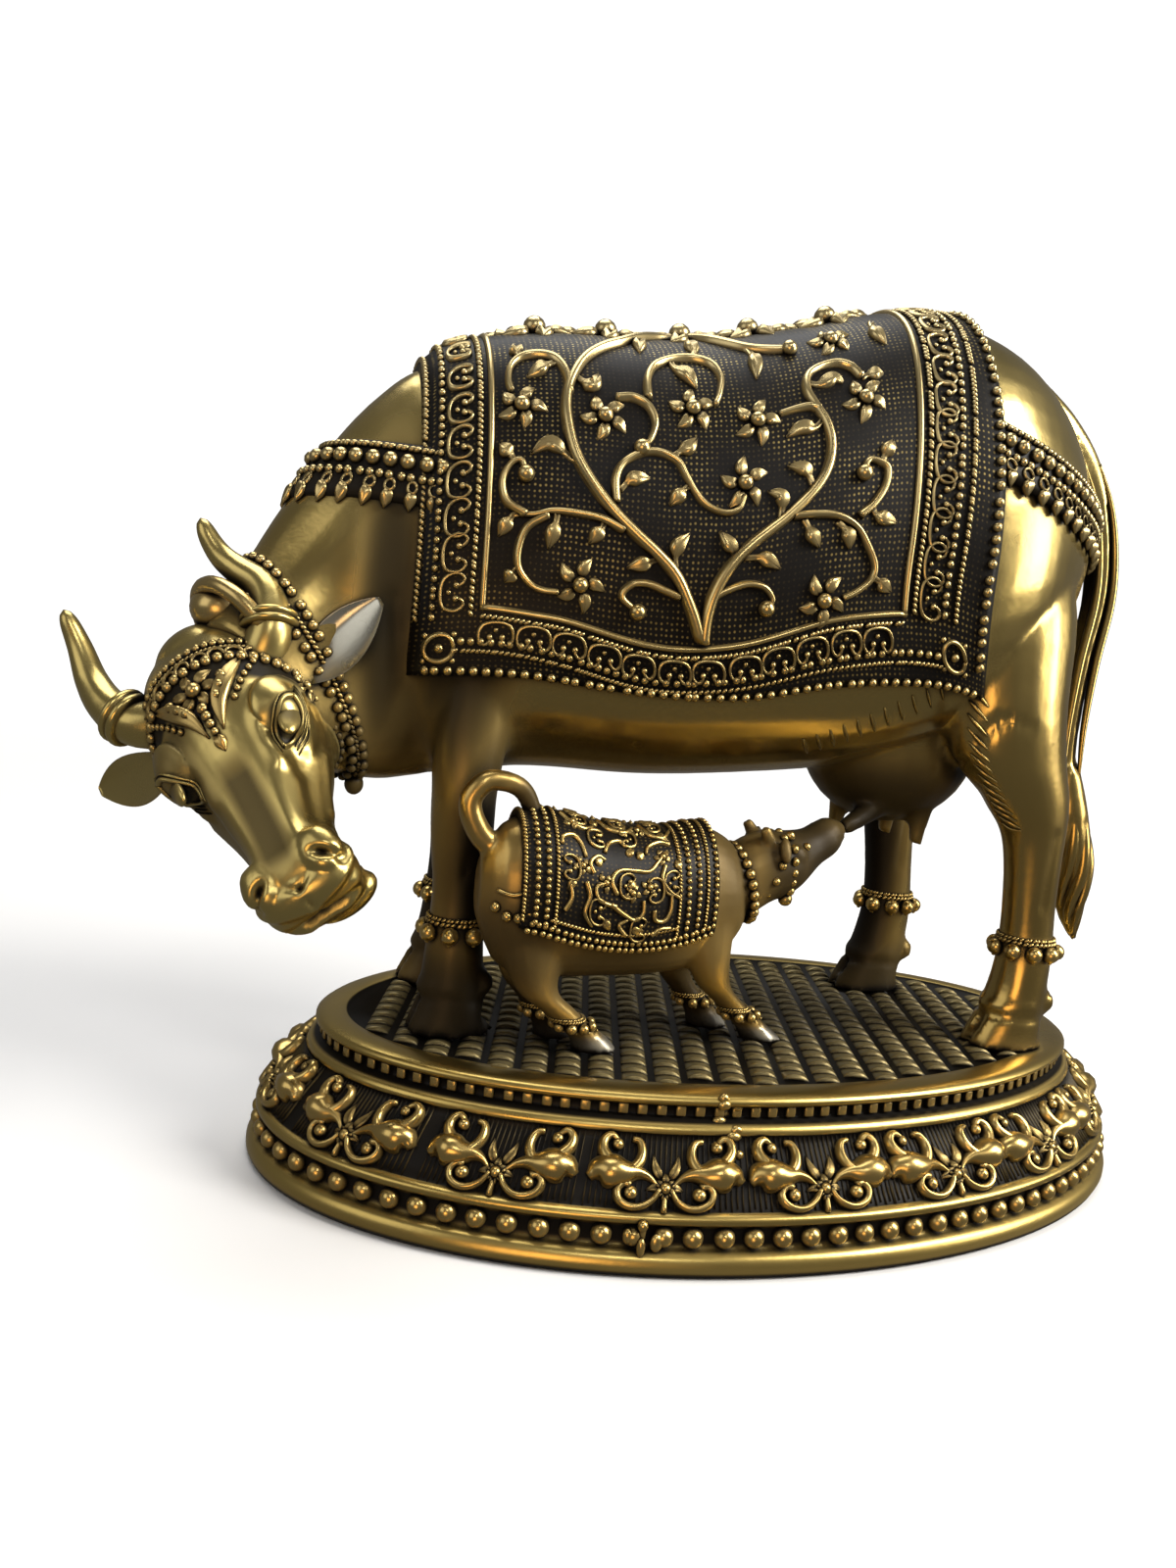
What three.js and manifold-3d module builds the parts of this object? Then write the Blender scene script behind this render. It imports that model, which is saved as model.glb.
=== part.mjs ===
// Cow and calf group: a cow in festival dress lowers and turns its head towards its
// suckling calf, and both stand on an oval moulded plinth.
// Millimetres, +Z up. The origin is the centre of the plinth's underside. The cow's head
// is towards -X, the flank that the calf stands under is towards -Y.
import * as THREE from 'three';
import { mergeVertices } from 'three/addons/utils/BufferGeometryUtils.js';
import Module from 'manifold-3d';

// Driving dimensions of the figures
const cowHeight = 118;          // soles of the hooves to the top of the hips
const touchGap = 0.3;           // calf's muzzle to the teat

// Carving of the figures, in shares of the cow's height of 118
const blanketLift = 1.3;        // thickness of the saddle cloth above the hide
const vineRadius = 0.62;        // stems of the vine on the cloth
const ribHeight = 0.8;          // corded ribs that edge the cloth
const dressBeadRadius = 1.15;   // beads of the borders and straps
const beadSink = 0.6;           // how far their centres lie below the skin of the cloth
const dressDepth = 2.4;         // how far the cloth and straps reach into the body

// Driving dimensions of the plinth
const plateauMargin = 8.5;      // level top left beyond the outermost hooves
const flangeHeight = 3.4;       // rounded foot
const beadBandHeight = 3.8;     // hollow that holds the row of beads
const lowerFilletHeight = 1.3;  // thin rib between beads and frieze
const friezeHeight = 8.2;       // sloping band with the scrolls
const upperFilletHeight = 1.3;  // thin rib above the frieze
const neckHeight = 2.2;         // hollow under the rim
const rimHeight = 1.8;          // rounded edge of the top
const friezeSlope = 7.6;        // how far the frieze leans in
const bandDepth = 1.1;          // how deep the two hollows are cut
const rimWidth = 2.6;           // plain edge around the woven mat
const beadRadius = 1.4;
const beadPitch = 4.2;
const scrollPitch = 21;         // one pair of scrolls on the frieze
const matPitch = 6;             // one rib of the woven mat carved on the top
const matRise = 0.55;           // how far a rib stands above the ground of the mat

const wasm = await Module();
wasm.setup();

// The figures are drawn on their own grid, in which the cow is 118 units tall.
const unit = cowHeight / 118;
const plinthHeight = flangeHeight + beadBandHeight + lowerFilletHeight + friezeHeight
  + upperFilletHeight + neckHeight + rimHeight;
const plateau = { x: 54 * unit + plateauMargin, y: 24.8 * unit + plateauMargin };
const plinthSpread = friezeSlope + 3 * bandDepth + 1.6;

const V = (x, y, z) => new THREE.Vector3(x, y, z);
const { sin, cos, acos, PI, sqrt, abs, min, max, round, sign } = Math;
const lerp = THREE.MathUtils.lerp;

// Solids from three.js geometry

// Six times the volume inside a closed skin, negative when its faces look inwards
function signedVolume(position, index) {
  let sum = 0;
  for (let i = 0; i < index.count; i += 3) {
    const [a, b, c] = [0, 1, 2].map((k) => V().fromBufferAttribute(position, index.getX(i + k)));
    sum += a.dot(b.cross(c));
  }
  return sum;
}

function solid(geometry) {
  const bare = geometry.index ? geometry.toNonIndexed() : geometry.clone();
  for (const name of Object.keys(bare.attributes)) {
    if (name !== 'position') bare.deleteAttribute(name);
  }
  const merged = mergeVertices(bare, 1e-4);
  const triangles = new Uint32Array(merged.index.array);
  if (signedVolume(merged.attributes.position, merged.index) < 0) triangles.reverse();
  return new wasm.Manifold(new wasm.Mesh({
    numProp: 3,
    vertProperties: merged.attributes.position.array,
    triVerts: triangles,
  }));
}

function join(solids) {
  return wasm.Manifold.union(solids);
}

function meshOf(made, name, material) {
  const data = made.getMesh();
  const geometry = new THREE.BufferGeometry();
  geometry.setAttribute('position', new THREE.BufferAttribute(data.vertProperties, 3));
  geometry.setIndex(new THREE.BufferAttribute(data.triVerts, 1));
  geometry.computeVertexNormals();
  const mesh = new THREE.Mesh(geometry, material);
  mesh.name = name;
  return mesh;
}

function moved(geometry, place) {
  const position = geometry.attributes.position;
  for (let i = 0; i < position.count; i += 1) {
    const p = place(V().fromBufferAttribute(position, i));
    position.setXYZ(i, p.x, p.y, p.z);
  }
  return geometry;
}

// A closed tube through rings. ring(t, angle) gives the skin, middle(t) the centre of an end.
function tube(sides, steps, ring, middle) {
  const geometry = new THREE.CylinderGeometry(1, 1, 1, sides, steps);
  return solid(moved(geometry, (p) => {
    const t = 0.5 - p.y;
    if (p.x * p.x + p.z * p.z < 0.25) return middle(t);
    return ring(t, Math.atan2(p.x, p.z));
  }));
}

// Values at x of a smooth curve through [x, value, value, ...] rows
function through(rows, x) {
  let i = 0;
  while (i < rows.length - 2 && x > rows[i + 1][0]) i += 1;
  const [a, b] = [rows[i], rows[i + 1]];
  const before = rows[max(0, i - 1)];
  const after = rows[min(rows.length - 1, i + 2)];
  const t = min(1, max(0, (x - a[0]) / (b[0] - a[0])));
  const [t2, t3] = [t * t, t * t * t];
  return a.slice(1).map((va, k) => {
    const slopeA = (b[k + 1] - before[k + 1]) / (b[0] - before[0]) * (b[0] - a[0]);
    const slopeB = (after[k + 1] - a[k + 1]) / (after[0] - a[0]) * (b[0] - a[0]);
    return va * (2 * t3 - 3 * t2 + 1) + slopeA * (t3 - 2 * t2 + t)
      + b[k + 1] * (3 * t2 - 2 * t3) + slopeB * (t3 - t2);
  });
}

// The same for rows that are spread evenly from t = 0 to t = 1
function along(rows, t) {
  return through(rows.map((row, i) => [i / (rows.length - 1), ...row]), t);
}

// A limb: rows of [x, y, z, half-length along X, half-width] from top to sole
function limb(rows, sides, steps) {
  return tube(sides, steps, (t, angle) => {
    const [x, y, z, rx, ry] = along(rows, t);
    return V(x + rx * sin(angle), y + ry * cos(angle), z);
  }, (t) => V(...along(rows, t).slice(0, 3)));
}

// A cord through points, with its own radius at each t, flatter or fuller across
function cord(points, radius, sides, steps, flatten = 1) {
  const curve = new THREE.CatmullRomCurve3(points);
  const frames = curve.computeFrenetFrames(steps, false);
  const at = (t) => curve.getPointAt(t);
  return tube(sides, steps, (t, angle) => {
    const i = round(t * steps);
    return at(t)
      .addScaledVector(frames.normals[i], radius(t) * cos(angle))
      .addScaledVector(frames.binormals[i], radius(t) * flatten * sin(angle));
  }, at);
}

// An egg with its own radii, turned about its centre
function egg(centre, radii, wide, high, turn = new THREE.Euler()) {
  const geometry = new THREE.SphereGeometry(1, wide, high);
  return solid(moved(geometry, (p) => p.multiply(radii).applyEuler(turn).add(centre)));
}

function bead(centre, radius) {
  return egg(centre, V(radius, radius, radius), 4, 2);
}

// The cow's barrel

const barrel = [
  // x, top, bottom, half-width, middle y
  [-60, 92, 42, 9, 3.5],
  [-56, 98, 38.5, 14, 3.5],
  [-50, 101, 37.5, 16.5, 3.5],
  [-38, 103.5, 39.5, 19.5, 3],
  [-18, 105.5, 39.5, 22.5, 2.5],
  [0, 110, 41, 23.5, 1.5],
  [14, 114.8, 43, 23, 0.5],
  [27, 116.5, 47, 23.4, -0.6],
  [37, 113.2, 53, 21.2, -1],
  [46, 107, 61, 16.4, -1],
  [52.5, 99.5, 68, 11, -1],
  [57.5, 91, 76, 4, -1],
];
const flankBoxiness = 0.86;

// Point of the barrel's skin: angle 0 is at the spine, and it grows down the far flank
function barrelPoint(x, angle, lift) {
  const [top, bottom, wide, middle] = through(barrel, x);
  const pear = 1 - 0.1 * cos(angle);
  const full = sign(sin(angle)) * abs(sin(angle)) ** flankBoxiness;
  return V(x, middle + (wide * pear + lift) * full,
    (top + bottom) / 2 + ((top - bottom) / 2 + lift) * cos(angle));
}

// The angle at which the flank comes down to height z
function barrelAngle(x, z) {
  const [top, bottom] = through(barrel, x);
  return acos((z - (top + bottom) / 2) / ((top - bottom) / 2));
}

function barrelOf(rows, skin, sides, steps) {
  const place = (t) => lerp(rows.at(-1)[0], rows[0][0], t);
  return tube(sides, steps, (t, angle) => skin(place(t), angle, 0), (t) => {
    const [top, bottom, , middle] = through(rows, place(t));
    return V(place(t), middle, (top + bottom) / 2);
  });
}

// The saddle cloth lies on the barrel, down to a waved hem, and its rear corners flare out

const cloth = {
  front: -57.5, rear: 26, flare: 5, frontRib: 0.105, rearRib: 0.84, hemRib: 0.87, ribWidth: 0.02,
};

// Height of the hem, as [across, z]
const hemLine = [[0, 53.4], [0.18, 54.6], [0.38, 53.8], [0.54, 54.4], [0.7, 57.4], [0.88, 58.8], [1, 57.5]];

// Cloth coordinates: across from 0 at the front edge to 1 at the rear,
// down from 0 at the spine to 1 at the hem, negative on the near flank
function clothPoint(across, down, lift) {
  const flare = cloth.flare * max(0, abs(down) * 4 - 3) ** 2;
  const x = lerp(cloth.front, cloth.rear + flare, across);
  return barrelPoint(x, down * barrelAngle(x, through(hemLine, across)[0]), lift);
}

// The sheet with the ribs that edge its panel: columns and rows of the grid lie on both sides
// of each rib and on its crest
function clothSheet() {
  const { frontRib, rearRib, hemRib, ribWidth } = cloth;
  const beside = (rib) => [rib - ribWidth, rib, rib + ribWidth];
  const columns = [0, ...beside(frontRib), 0.3, 0.5, 0.7, ...beside(rearRib), 1];
  const half = [0.2, 0.42, 0.64, ...beside(hemRib), 1];
  const rows = [...half.map((down) => -down).reverse(), 0, ...half];
  const lift = (across, down) => {
    const onSide = (across === frontRib || across === rearRib) && abs(down) <= hemRib;
    const onHem = abs(down) === hemRib && across >= frontRib && across <= rearRib;
    return blanketLift + (onSide || onHem ? ribHeight : 0);
  };
  const geometry = new THREE.BoxGeometry(1, 1, 1, columns.length - 1, rows.length - 1, 1);
  return solid(moved(geometry, (p) => {
    const across = columns[round((p.x + 0.5) * (columns.length - 1))];
    const down = rows[round((p.y + 0.5) * (rows.length - 1))];
    return clothPoint(across, down, p.z > 0 ? lift(across, down) : -dressDepth);
  }));
}

// The vine of the near flank, as [across, down] places on the cloth: two main stems first
const vine = [
  [[0.465, 0.87], [0.45, 0.82], [0.42, 0.755], [0.34, 0.675], [0.265, 0.585], [0.228, 0.46], [0.24, 0.34],
    [0.3, 0.215], [0.38, 0.1], [0.48, 0.06], [0.54, 0.19], [0.63, 0.245]],
  [[0.47, 0.87], [0.49, 0.765], [0.55, 0.685], [0.645, 0.61], [0.678, 0.52], [0.655, 0.43], [0.65, 0.345],
    [0.705, 0.32], [0.745, 0.375]],
  [[0.425, 0.79], [0.39, 0.775], [0.345, 0.775], [0.33, 0.8]],
  [[0.48, 0.79], [0.54, 0.765], [0.575, 0.775], [0.585, 0.8]],
  [[0.325, 0.675], [0.25, 0.655], [0.155, 0.665], [0.125, 0.71]],
  [[0.61, 0.65], [0.69, 0.665], [0.75, 0.73], [0.735, 0.81]],
  [[0.31, 0.625], [0.32, 0.545], [0.38, 0.515], [0.44, 0.59], [0.515, 0.625]],
  [[0.233, 0.39], [0.215, 0.28], [0.16, 0.265], [0.135, 0.35]],
  [[0.365, 0.39], [0.385, 0.28], [0.455, 0.245], [0.497, 0.32]],
];
const flowers = [[0.155, 0.425], [0.29, 0.445], [0.44, 0.41], [0.55, 0.445], [0.745, 0.43], [0.26, 0.79],
  [0.675, 0.82]];

function clothStem(stem, radius, steps) {
  const points = stem.map(([across, down]) => clothPoint(across, -down, blanketLift + 0.1));
  return cord(points, (t) => radius * (1 - 0.35 * t), 3, steps);
}

function clothVine() {
  const mains = vine.slice(0, 2).map((stem) => clothStem(stem, vineRadius * 1.4, 8));
  const curls = vine.slice(2).map((stem) => clothStem(stem, vineRadius, 3));
  const blossoms = flowers.map(([across, down]) => bead(clothPoint(across, -down, blanketLift - 0.2), 1.8));
  return [...mains, ...curls, ...blossoms];
}

// A rosette in each lower corner of the cloth and, on the near flank, beads along the borders
function clothBorders(side) {
  const middles = [cloth.frontRib / 2, (1 + cloth.rearRib) / 2];
  const low = (1 + cloth.hemRib) / 2;
  const radius = 2.2 * dressBeadRadius;
  const parts = middles.map((across) => egg(clothPoint(across, side * low, blanketLift),
    V(radius, dressBeadRadius, radius), 6, 2, new THREE.Euler(PI / 2, 0, 0)));
  const count = side < 0 ? 5 : 0;
  for (let i = 0; i < count; i += 1) {
    const places = [...middles.map((across) => [across, 0.12 + i * 0.16]), [0.19 + i * 0.155, low]];
    for (const [across, down] of places) {
      parts.push(bead(clothPoint(across, side * down, blanketLift - beadSink), dressBeadRadius));
    }
  }
  return parts;
}

// Breeching: on each side a band slopes from the cloth to below the tail, beaded on the near one
const breeching = { from: 30, to: 55, startZ: 94, endZ: 84, width: 9, lift: 0.9 };

function breechingBand(side) {
  const place = (u, v, lift) => {
    const x = lerp(breeching.from, breeching.to, u);
    const z = lerp(breeching.startZ, breeching.endZ, u) + v * breeching.width;
    return barrelPoint(x, side * barrelAngle(x, z), lift);
  };
  const geometry = new THREE.BoxGeometry(1, 1, 1, 5, 1, 1);
  const band = solid(moved(geometry, (p) => place(p.x + 0.5, p.y, p.z > 0 ? breeching.lift : -dressDepth)));
  const parts = [band];
  const count = side < 0 ? 6 : 0;
  for (let i = 0; i < count; i += 1) {
    parts.push(bead(place(0.1 + i * 0.15, 0.12, breeching.lift - beadSink), dressBeadRadius));
  }
  return parts;
}

// The neck comes down from the withers and bends to the near side

const neckRows = [
  // nape x, y, z, throat x, y, z, half-width
  [-42, 3.5, 101, -44, 3.5, 41, 14],
  [-56, 3, 97.5, -51, 3, 37.5, 14.2],
  [-63.5, 2.5, 91.5, -55.5, 2, 36.6, 12.8],
  [-70, 1.5, 83, -58.5, 0.5, 36.3, 11.4],
  [-75.5, 0, 74.5, -61, -1, 36.5, 10],
  [-80.5, -2.5, 65, -63.5, -3, 37, 9],
  [-85, -5.5, 57, -69, -6.5, 38.5, 8.2],
];

function neckEnds(t) {
  const [nx, ny, nz, tx, ty, tz] = along(neckRows, min(1, max(0, t)));
  return [V(nx, ny, nz), V(tx, ty, tz)];
}

function neckPoint(t, angle, lift) {
  const [nape, throat] = neckEnds(t);
  const middle = nape.clone().lerp(throat, 0.5);
  const [napeAfter, throatAfter] = neckEnds(t + 0.05);
  const [napeBefore, throatBefore] = neckEnds(t - 0.05);
  const ahead = napeAfter.add(throatAfter).sub(napeBefore).sub(throatBefore);
  const upward = nape.sub(throat);
  const sideways = V().crossVectors(upward, ahead).normalize();
  const high = upward.length() / 2 + lift;
  return middle.addScaledVector(upward.normalize(), high * cos(angle))
    .addScaledVector(sideways, (along(neckRows, t)[6] + lift) * sin(angle));
}

function neck() {
  return tube(10, 7, (t, angle) => neckPoint(t, angle, 0), (t) => {
    const [nape, throat] = neckEnds(t);
    return nape.lerp(throat, 0.5);
  });
}

// The angle at which the side of the neck comes down to height z
function neckAngle(t, z) {
  const [nape, throat] = neckEnds(t);
  return acos(min(1, (2 * z - nape.z - throat.z) / (nape.z - throat.z)));
}

// How far along the neck the nape has come down to height z
function napeAt(z) {
  let [above, below] = [0, 1];
  for (let i = 0; i < 20; i += 1) {
    const t = (above + below) / 2;
    if (neckEnds(t)[0].z > z) above = t;
    else below = t;
  }
  return below;
}

// Breast strap: a beaded band that runs level around the neck, from one front edge of the cloth
// over the nape to the other
const breastStrap = { z: 80, width: 9.5, start: 0.1, lift: 0.7 };

function breastBand() {
  const place = (u, v, lift) => {
    const z = breastStrap.z + v * breastStrap.width;
    const t = lerp(breastStrap.start, napeAt(z), sin(PI * min(u, 1 - u)));
    return neckPoint(t, sign(u - 0.5) * neckAngle(t, z), lift);
  };
  const geometry = new THREE.BoxGeometry(1, 1, 1, 8, 1, 1);
  const band = solid(moved(geometry, (p) => place(p.x + 0.5, p.y, p.z > 0 ? breastStrap.lift : -dressDepth)));
  const parts = [band];
  for (let i = 0; i < 8; i += 1) {
    parts.push(bead(place(0.1 + i * 0.115, 0.12, breastStrap.lift - beadSink), dressBeadRadius));
  }
  return parts;
}

// The head in its own axes: left towards the cow's left, downward from poll to muzzle,
// front out of the forehead
const head = {
  poll: V(-87.9, -8, 53.7),
  left: V(0.758, -0.171, 0.629).normalize(),
  front: V(-0.528, -0.728, 0.438).normalize(),
};
head.front.addScaledVector(head.left, -head.front.dot(head.left)).normalize();
head.downward = V().crossVectors(head.left, head.front);

function onHead(left, downward, front) {
  return head.poll.clone().addScaledVector(head.left, left)
    .addScaledVector(head.downward, downward).addScaledVector(head.front, front);
}

const skull = [
  // down from the poll, half-width, forehead, jaw
  [-4, 5.5, -3, -11],
  [-1, 9, -0.5, -15],
  [4, 10.6, 1.4, -18],
  [10, 11, 2, -20],
  [16, 10.8, 1.7, -20.5],
  [21, 9.2, 1, -19.5],
  [27, 7, 0.3, -15.5],
  [32, 6, 0, -12.5],
  [36, 6.6, 0.2, -11],
  [39, 7.2, -0.6, -11],
  [41.6, 6, -2.6, -10.3],
  [42.8, 3.6, -5, -8.5],
];

function cowHead() {
  const place = (t) => lerp(skull[0][0], skull.at(-1)[0], t);
  const face = tube(9, 10, (t, angle) => {
    const [wide, forehead, jaw] = through(skull, place(t));
    const narrow = 1 - 0.22 * max(0, -cos(angle));
    const full = sign(cos(angle)) * abs(cos(angle)) ** 0.8;
    return onHead(wide * narrow * sin(angle), place(t), lerp(jaw, forehead, 0.5 + 0.5 * full));
  }, (t) => {
    const [, forehead, jaw] = through(skull, place(t));
    return onHead(0, place(t), (forehead + jaw) / 2);
  });
  const sides = [-1, 1].flatMap((side) => [
    egg(onHead(side * 8.4, 16.2, -1.6), V(2.6, 3, 2.8), 5, 3),
    egg(onHead(side * 4.4, 37.2, -1), V(2.4, 2.2, 2), 5, 3),
    horn(side),
    ear(side),
  ]);
  return [face, ...sides];
}

// A horn rises from its ring and turns in towards the other, the left one in a deeper bend
const hornPaths = {
  left: [[7, 6, -5], [11.2, 3.4, -3.4], [13.1, -0.6, -3], [13.2, -3.8, -2.6], [11.9, -7, -1.9],
    [10.9, -9.8, -0.8], [10.8, -12.4, 0.6], [11.4, -15.3, 2.3]],
  right: [[-7, 6, -5], [-11.2, 3.4, -3.4], [-13.4, -1.2, -2.8], [-13.8, -6, -2.2], [-12.8, -10.8, -0.6],
    [-11.6, -15.4, 2.3]],
};

function horn(side) {
  const path = hornPaths[side > 0 ? 'left' : 'right'].map((place) => onHead(...place));
  const ring = [0.1, 0.55].map((t) => path[1].clone().lerp(path[2], t));
  const collar = cord(ring, () => 4.1, 5, 1);
  return join([collar, cord(path, (t) => lerp(3.5, 1.1, t ** 1.2), 5, 7)]);
}

// A leaf-shaped ear: the left one is turned forward, the right one back
function ear(side) {
  const root = onHead(side * 9.5, 9, -7.5);
  const tip = side > 0 ? onHead(26.1, 6.8, -6.8) : onHead(-25, 0.2, -15.6);
  const sag = 1.2;
  const middle = (t) => root.clone().lerp(tip, t).addScaledVector(head.downward, sag * sin(PI * t));
  return tube(6, 4, (t, angle) => {
    const half = 0.4 + 3.6 * sin(PI * min(1, 0.12 + t * 0.86)) ** 0.8;
    return middle(t).addScaledVector(head.downward, half * cos(angle))
      .addScaledVector(head.front, 0.4 * half * sin(angle));
  }, middle);
}

// Bead ornaments of the head: brow band, forehead drop and collar
function headdress() {
  const beads = [];
  for (let i = 0; i <= 6; i += 1) {
    const angle = lerp(-1.25, 1.25, i / 6);
    beads.push(bead(onHead(9.4 * sin(angle), 7.5 - 2 * cos(angle), 2.6 * cos(angle) - 1.8), 1.9));
  }
  for (let i = 0; i < 3; i += 1) beads.push(bead(onHead(0, 8 + i * 2.6, 2), 1.7 - 0.2 * i));
  for (let i = 0; i < 8; i += 1) beads.push(bead(neckPoint(0.84, 2 * PI * i / 8, -1.6), 2.6));
  return beads;
}

// Legs: rows of [x, y, z, half-length, half-width], from the body to the sole

const legRows = {
  nearHind: [[38, -8, 86, 11, 8], [38, -11.5, 71, 12.5, 9], [38.4, -14, 57.5, 11, 8],
    [40, -15.4, 48, 10.2, 6.4], [43.4, -16, 41.5, 8.3, 5.2], [45.8, -16.3, 36.5, 5.9, 4.5],
    [46.6, -16.5, 31, 4.9, 4],
    [47.2, -16.5, 23, 4.5, 3.8], [47.6, -16.5, 16, 4.6, 4], [47.2, -16.5, 10, 4.9, 4.4],
    [46.4, -16.5, 5.5, 5.6, 4.7], [45.4, -16.5, 0, 7.2, 5.3]],
  farHind: [[38, 6, 86, 11, 8], [37, 9.5, 71, 12, 9], [35.4, 12, 57.5, 10, 8], [35, 13.3, 48, 9, 6.2],
    [36, 13.8, 41.5, 7, 5], [37.4, 14, 36.5, 5.4, 4.4], [38, 14, 31, 4.8, 4],
    [39, 14, 23, 4.5, 3.8], [39.6, 14, 16, 4.6, 4], [39, 14, 10, 4.9, 4.4],
    [38, 14, 5.5, 5.5, 4.6], [36.8, 14, 0, 7.1, 5.2]],
  nearFront: [[-44, -4, 76, 7, 5], [-45, -5.6, 60, 7.4, 6], [-47, -7.6, 48, 6.4, 5.2],
    [-47.4, -8.4, 38, 5, 4.6], [-47.1, -8, 29, 4.7, 4.2], [-46.8, -7.6, 22, 4.1, 3.7],
    [-46.8, -7.6, 15, 4.3, 3.9],
    [-46.8, -7.7, 9, 4.7, 4.3], [-46.9, -7.8, 4.5, 5.3, 4.6], [-47, -8, 0, 6.8, 5.1]],
  farFront: [[-42, 12, 76, 9, 6], [-42.5, 15, 60, 9, 7], [-43, 16.4, 48, 7, 5.6], [-43.2, 17, 38, 5, 4.6],
    [-43.2, 17.2, 29, 4.5, 4.2], [-43.2, 17.2, 22, 4.1, 3.8], [-43.4, 17.2, 15, 4.3, 4],
    [-43.8, 17.2, 9, 4.7, 4.4], [-44.5, 17.2, 4.5, 5.4, 4.6], [-45.2, 17.2, 0, 6.8, 5.2]],
};

function cowLeg(rows) {
  const [x, y, z, long, wide] = rows.at(-4);
  const anklet = egg(V(x, y, z), V(long + 2, 2.8, wide + 2), 6, 2, new THREE.Euler(PI / 2, 0, 0));
  const [soleX, soleY] = rows.at(-1);
  const cleft = solid(new THREE.CylinderGeometry(0.9, 0.9, 4, 3).translate(soleX - 7, soleY, 1));
  return join([limb(rows, 6, 8), anklet]).subtract(cleft);
}

// The calf's muzzle and the teat that it reaches for
const muzzle = { tip: V(14.6, -9, 33.6), reach: V(0.9, 0.26, 0.36).normalize() };

function udder() {
  const bag = egg(V(27, 0, 48), V(15.5, 12, 14), 7, 5);
  const teats = [[22, 5], [32, -5], [32, 5]].map(([x, y]) => (
    cord([V(x, y, 38), V(x - 0.5, y, 31)], (t) => lerp(2, 1.3, t), 5, 1)));
  const offered = muzzle.tip.clone().addScaledVector(muzzle.reach, touchGap / unit);
  const suckled = cord([V(25, -4, 38), offered.clone().addScaledVector(muzzle.reach, 2.5), offered],
    (t) => lerp(2.4, 1.3, t), 5, 3);
  return [bag, ...teats, suckled];
}

function tail() {
  const path = [V(44, -1, 108.4), V(50.5, -2, 103.6), V(55.6, -3, 97.6), V(59.2, -3, 91), V(61.4, -3, 83.5),
    V(61.7, -3.6, 75), V(59.8, -4.4, 64), V(58.7, -5.2, 53), V(58.6, -6, 44)];
  const tuft = [V(58.6, -6, 46), V(60.6, -6.4, 37), V(62.8, -6.5, 29), V(63.6, -6.5, 21), V(65.8, -6.5, 15)];
  return [cord(path, (t) => lerp(2.9, 1.9, t), 5, 8),
    cord(tuft, (t) => 0.4 + 3.4 * sin(PI * min(1, 0.2 + 0.8 * t)) ** 0.8, 5, 6)];
}

function cow() {
  const legs = Object.values(legRows).map(cowLeg);
  const trims = [1, -1].flatMap((side) => [...clothBorders(side), ...breechingBand(side)]);
  return join([barrelOf(barrel, barrelPoint, 12, 11), neck(), ...cowHead(), ...headdress(), ...legs,
    ...udder(), ...tail(), clothSheet(), ...clothVine(), ...breastBand(), ...trims]);
}

// The calf

const calfBarrel = [
  // x, top, bottom, half-width, middle y
  [-46.4, 28.5, 20.5, 2.4, -18],
  [-43.5, 33.5, 14, 5.4, -17.8],
  [-38, 35, 11.5, 7.6, -17],
  [-28, 33.2, 11, 8.2, -15.6],
  [-18, 32.8, 11, 8.2, -14],
  [-10, 33.4, 12, 7.2, -12.8],
  [-5, 30.5, 15, 5.8, -12.2],
  [-2.5, 26, 19, 2.5, -12],
];

function calfPoint(x, angle, lift) {
  const [top, bottom, wide, middle] = through(calfBarrel, x);
  return V(x, middle + (wide + lift) * sin(angle),
    (top + bottom) / 2 + ((top - bottom) / 2 + lift) * cos(angle));
}

const calfCloth = { front: -8.5, rear: -38.5, lift: 0.9, depth: 1, hem: 1.85, hemDip: 0.14 };

function calfClothPoint(across, down, lift) {
  const x = lerp(calfCloth.rear, calfCloth.front, across);
  return calfPoint(x, down * (calfCloth.hem + calfCloth.hemDip * sin(PI * across)), lift);
}

function calfDress() {
  const { lift, depth } = calfCloth;
  const sheet = new THREE.BoxGeometry(1, 2, 1, 4, 8, 1);
  const parts = [solid(moved(sheet, (p) => calfClothPoint(p.x + 0.5, p.y, p.z > 0 ? lift : -depth)))];
  const curl = [[0.3, 0.3], [0.45, 0.25], [0.5, 0.45], [0.4, 0.6], [0.55, 0.7], [0.7, 0.5], [0.65, 0.3]];
  for (let i = 0; i < 3; i += 1) {
    const places = [[0.08, 0.16 + i * 0.28], [0.92, 0.16 + i * 0.28], [0.25 + i * 0.25, 0.92]];
    for (const [across, down] of places) {
      parts.push(bead(calfClothPoint(across, -down, lift - beadSink), dressBeadRadius));
    }
  }
  parts.push(cord(curl.map(([across, down]) => calfClothPoint(across, -down, 1)), () => vineRadius, 3, 6));
  return parts;
}

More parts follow.
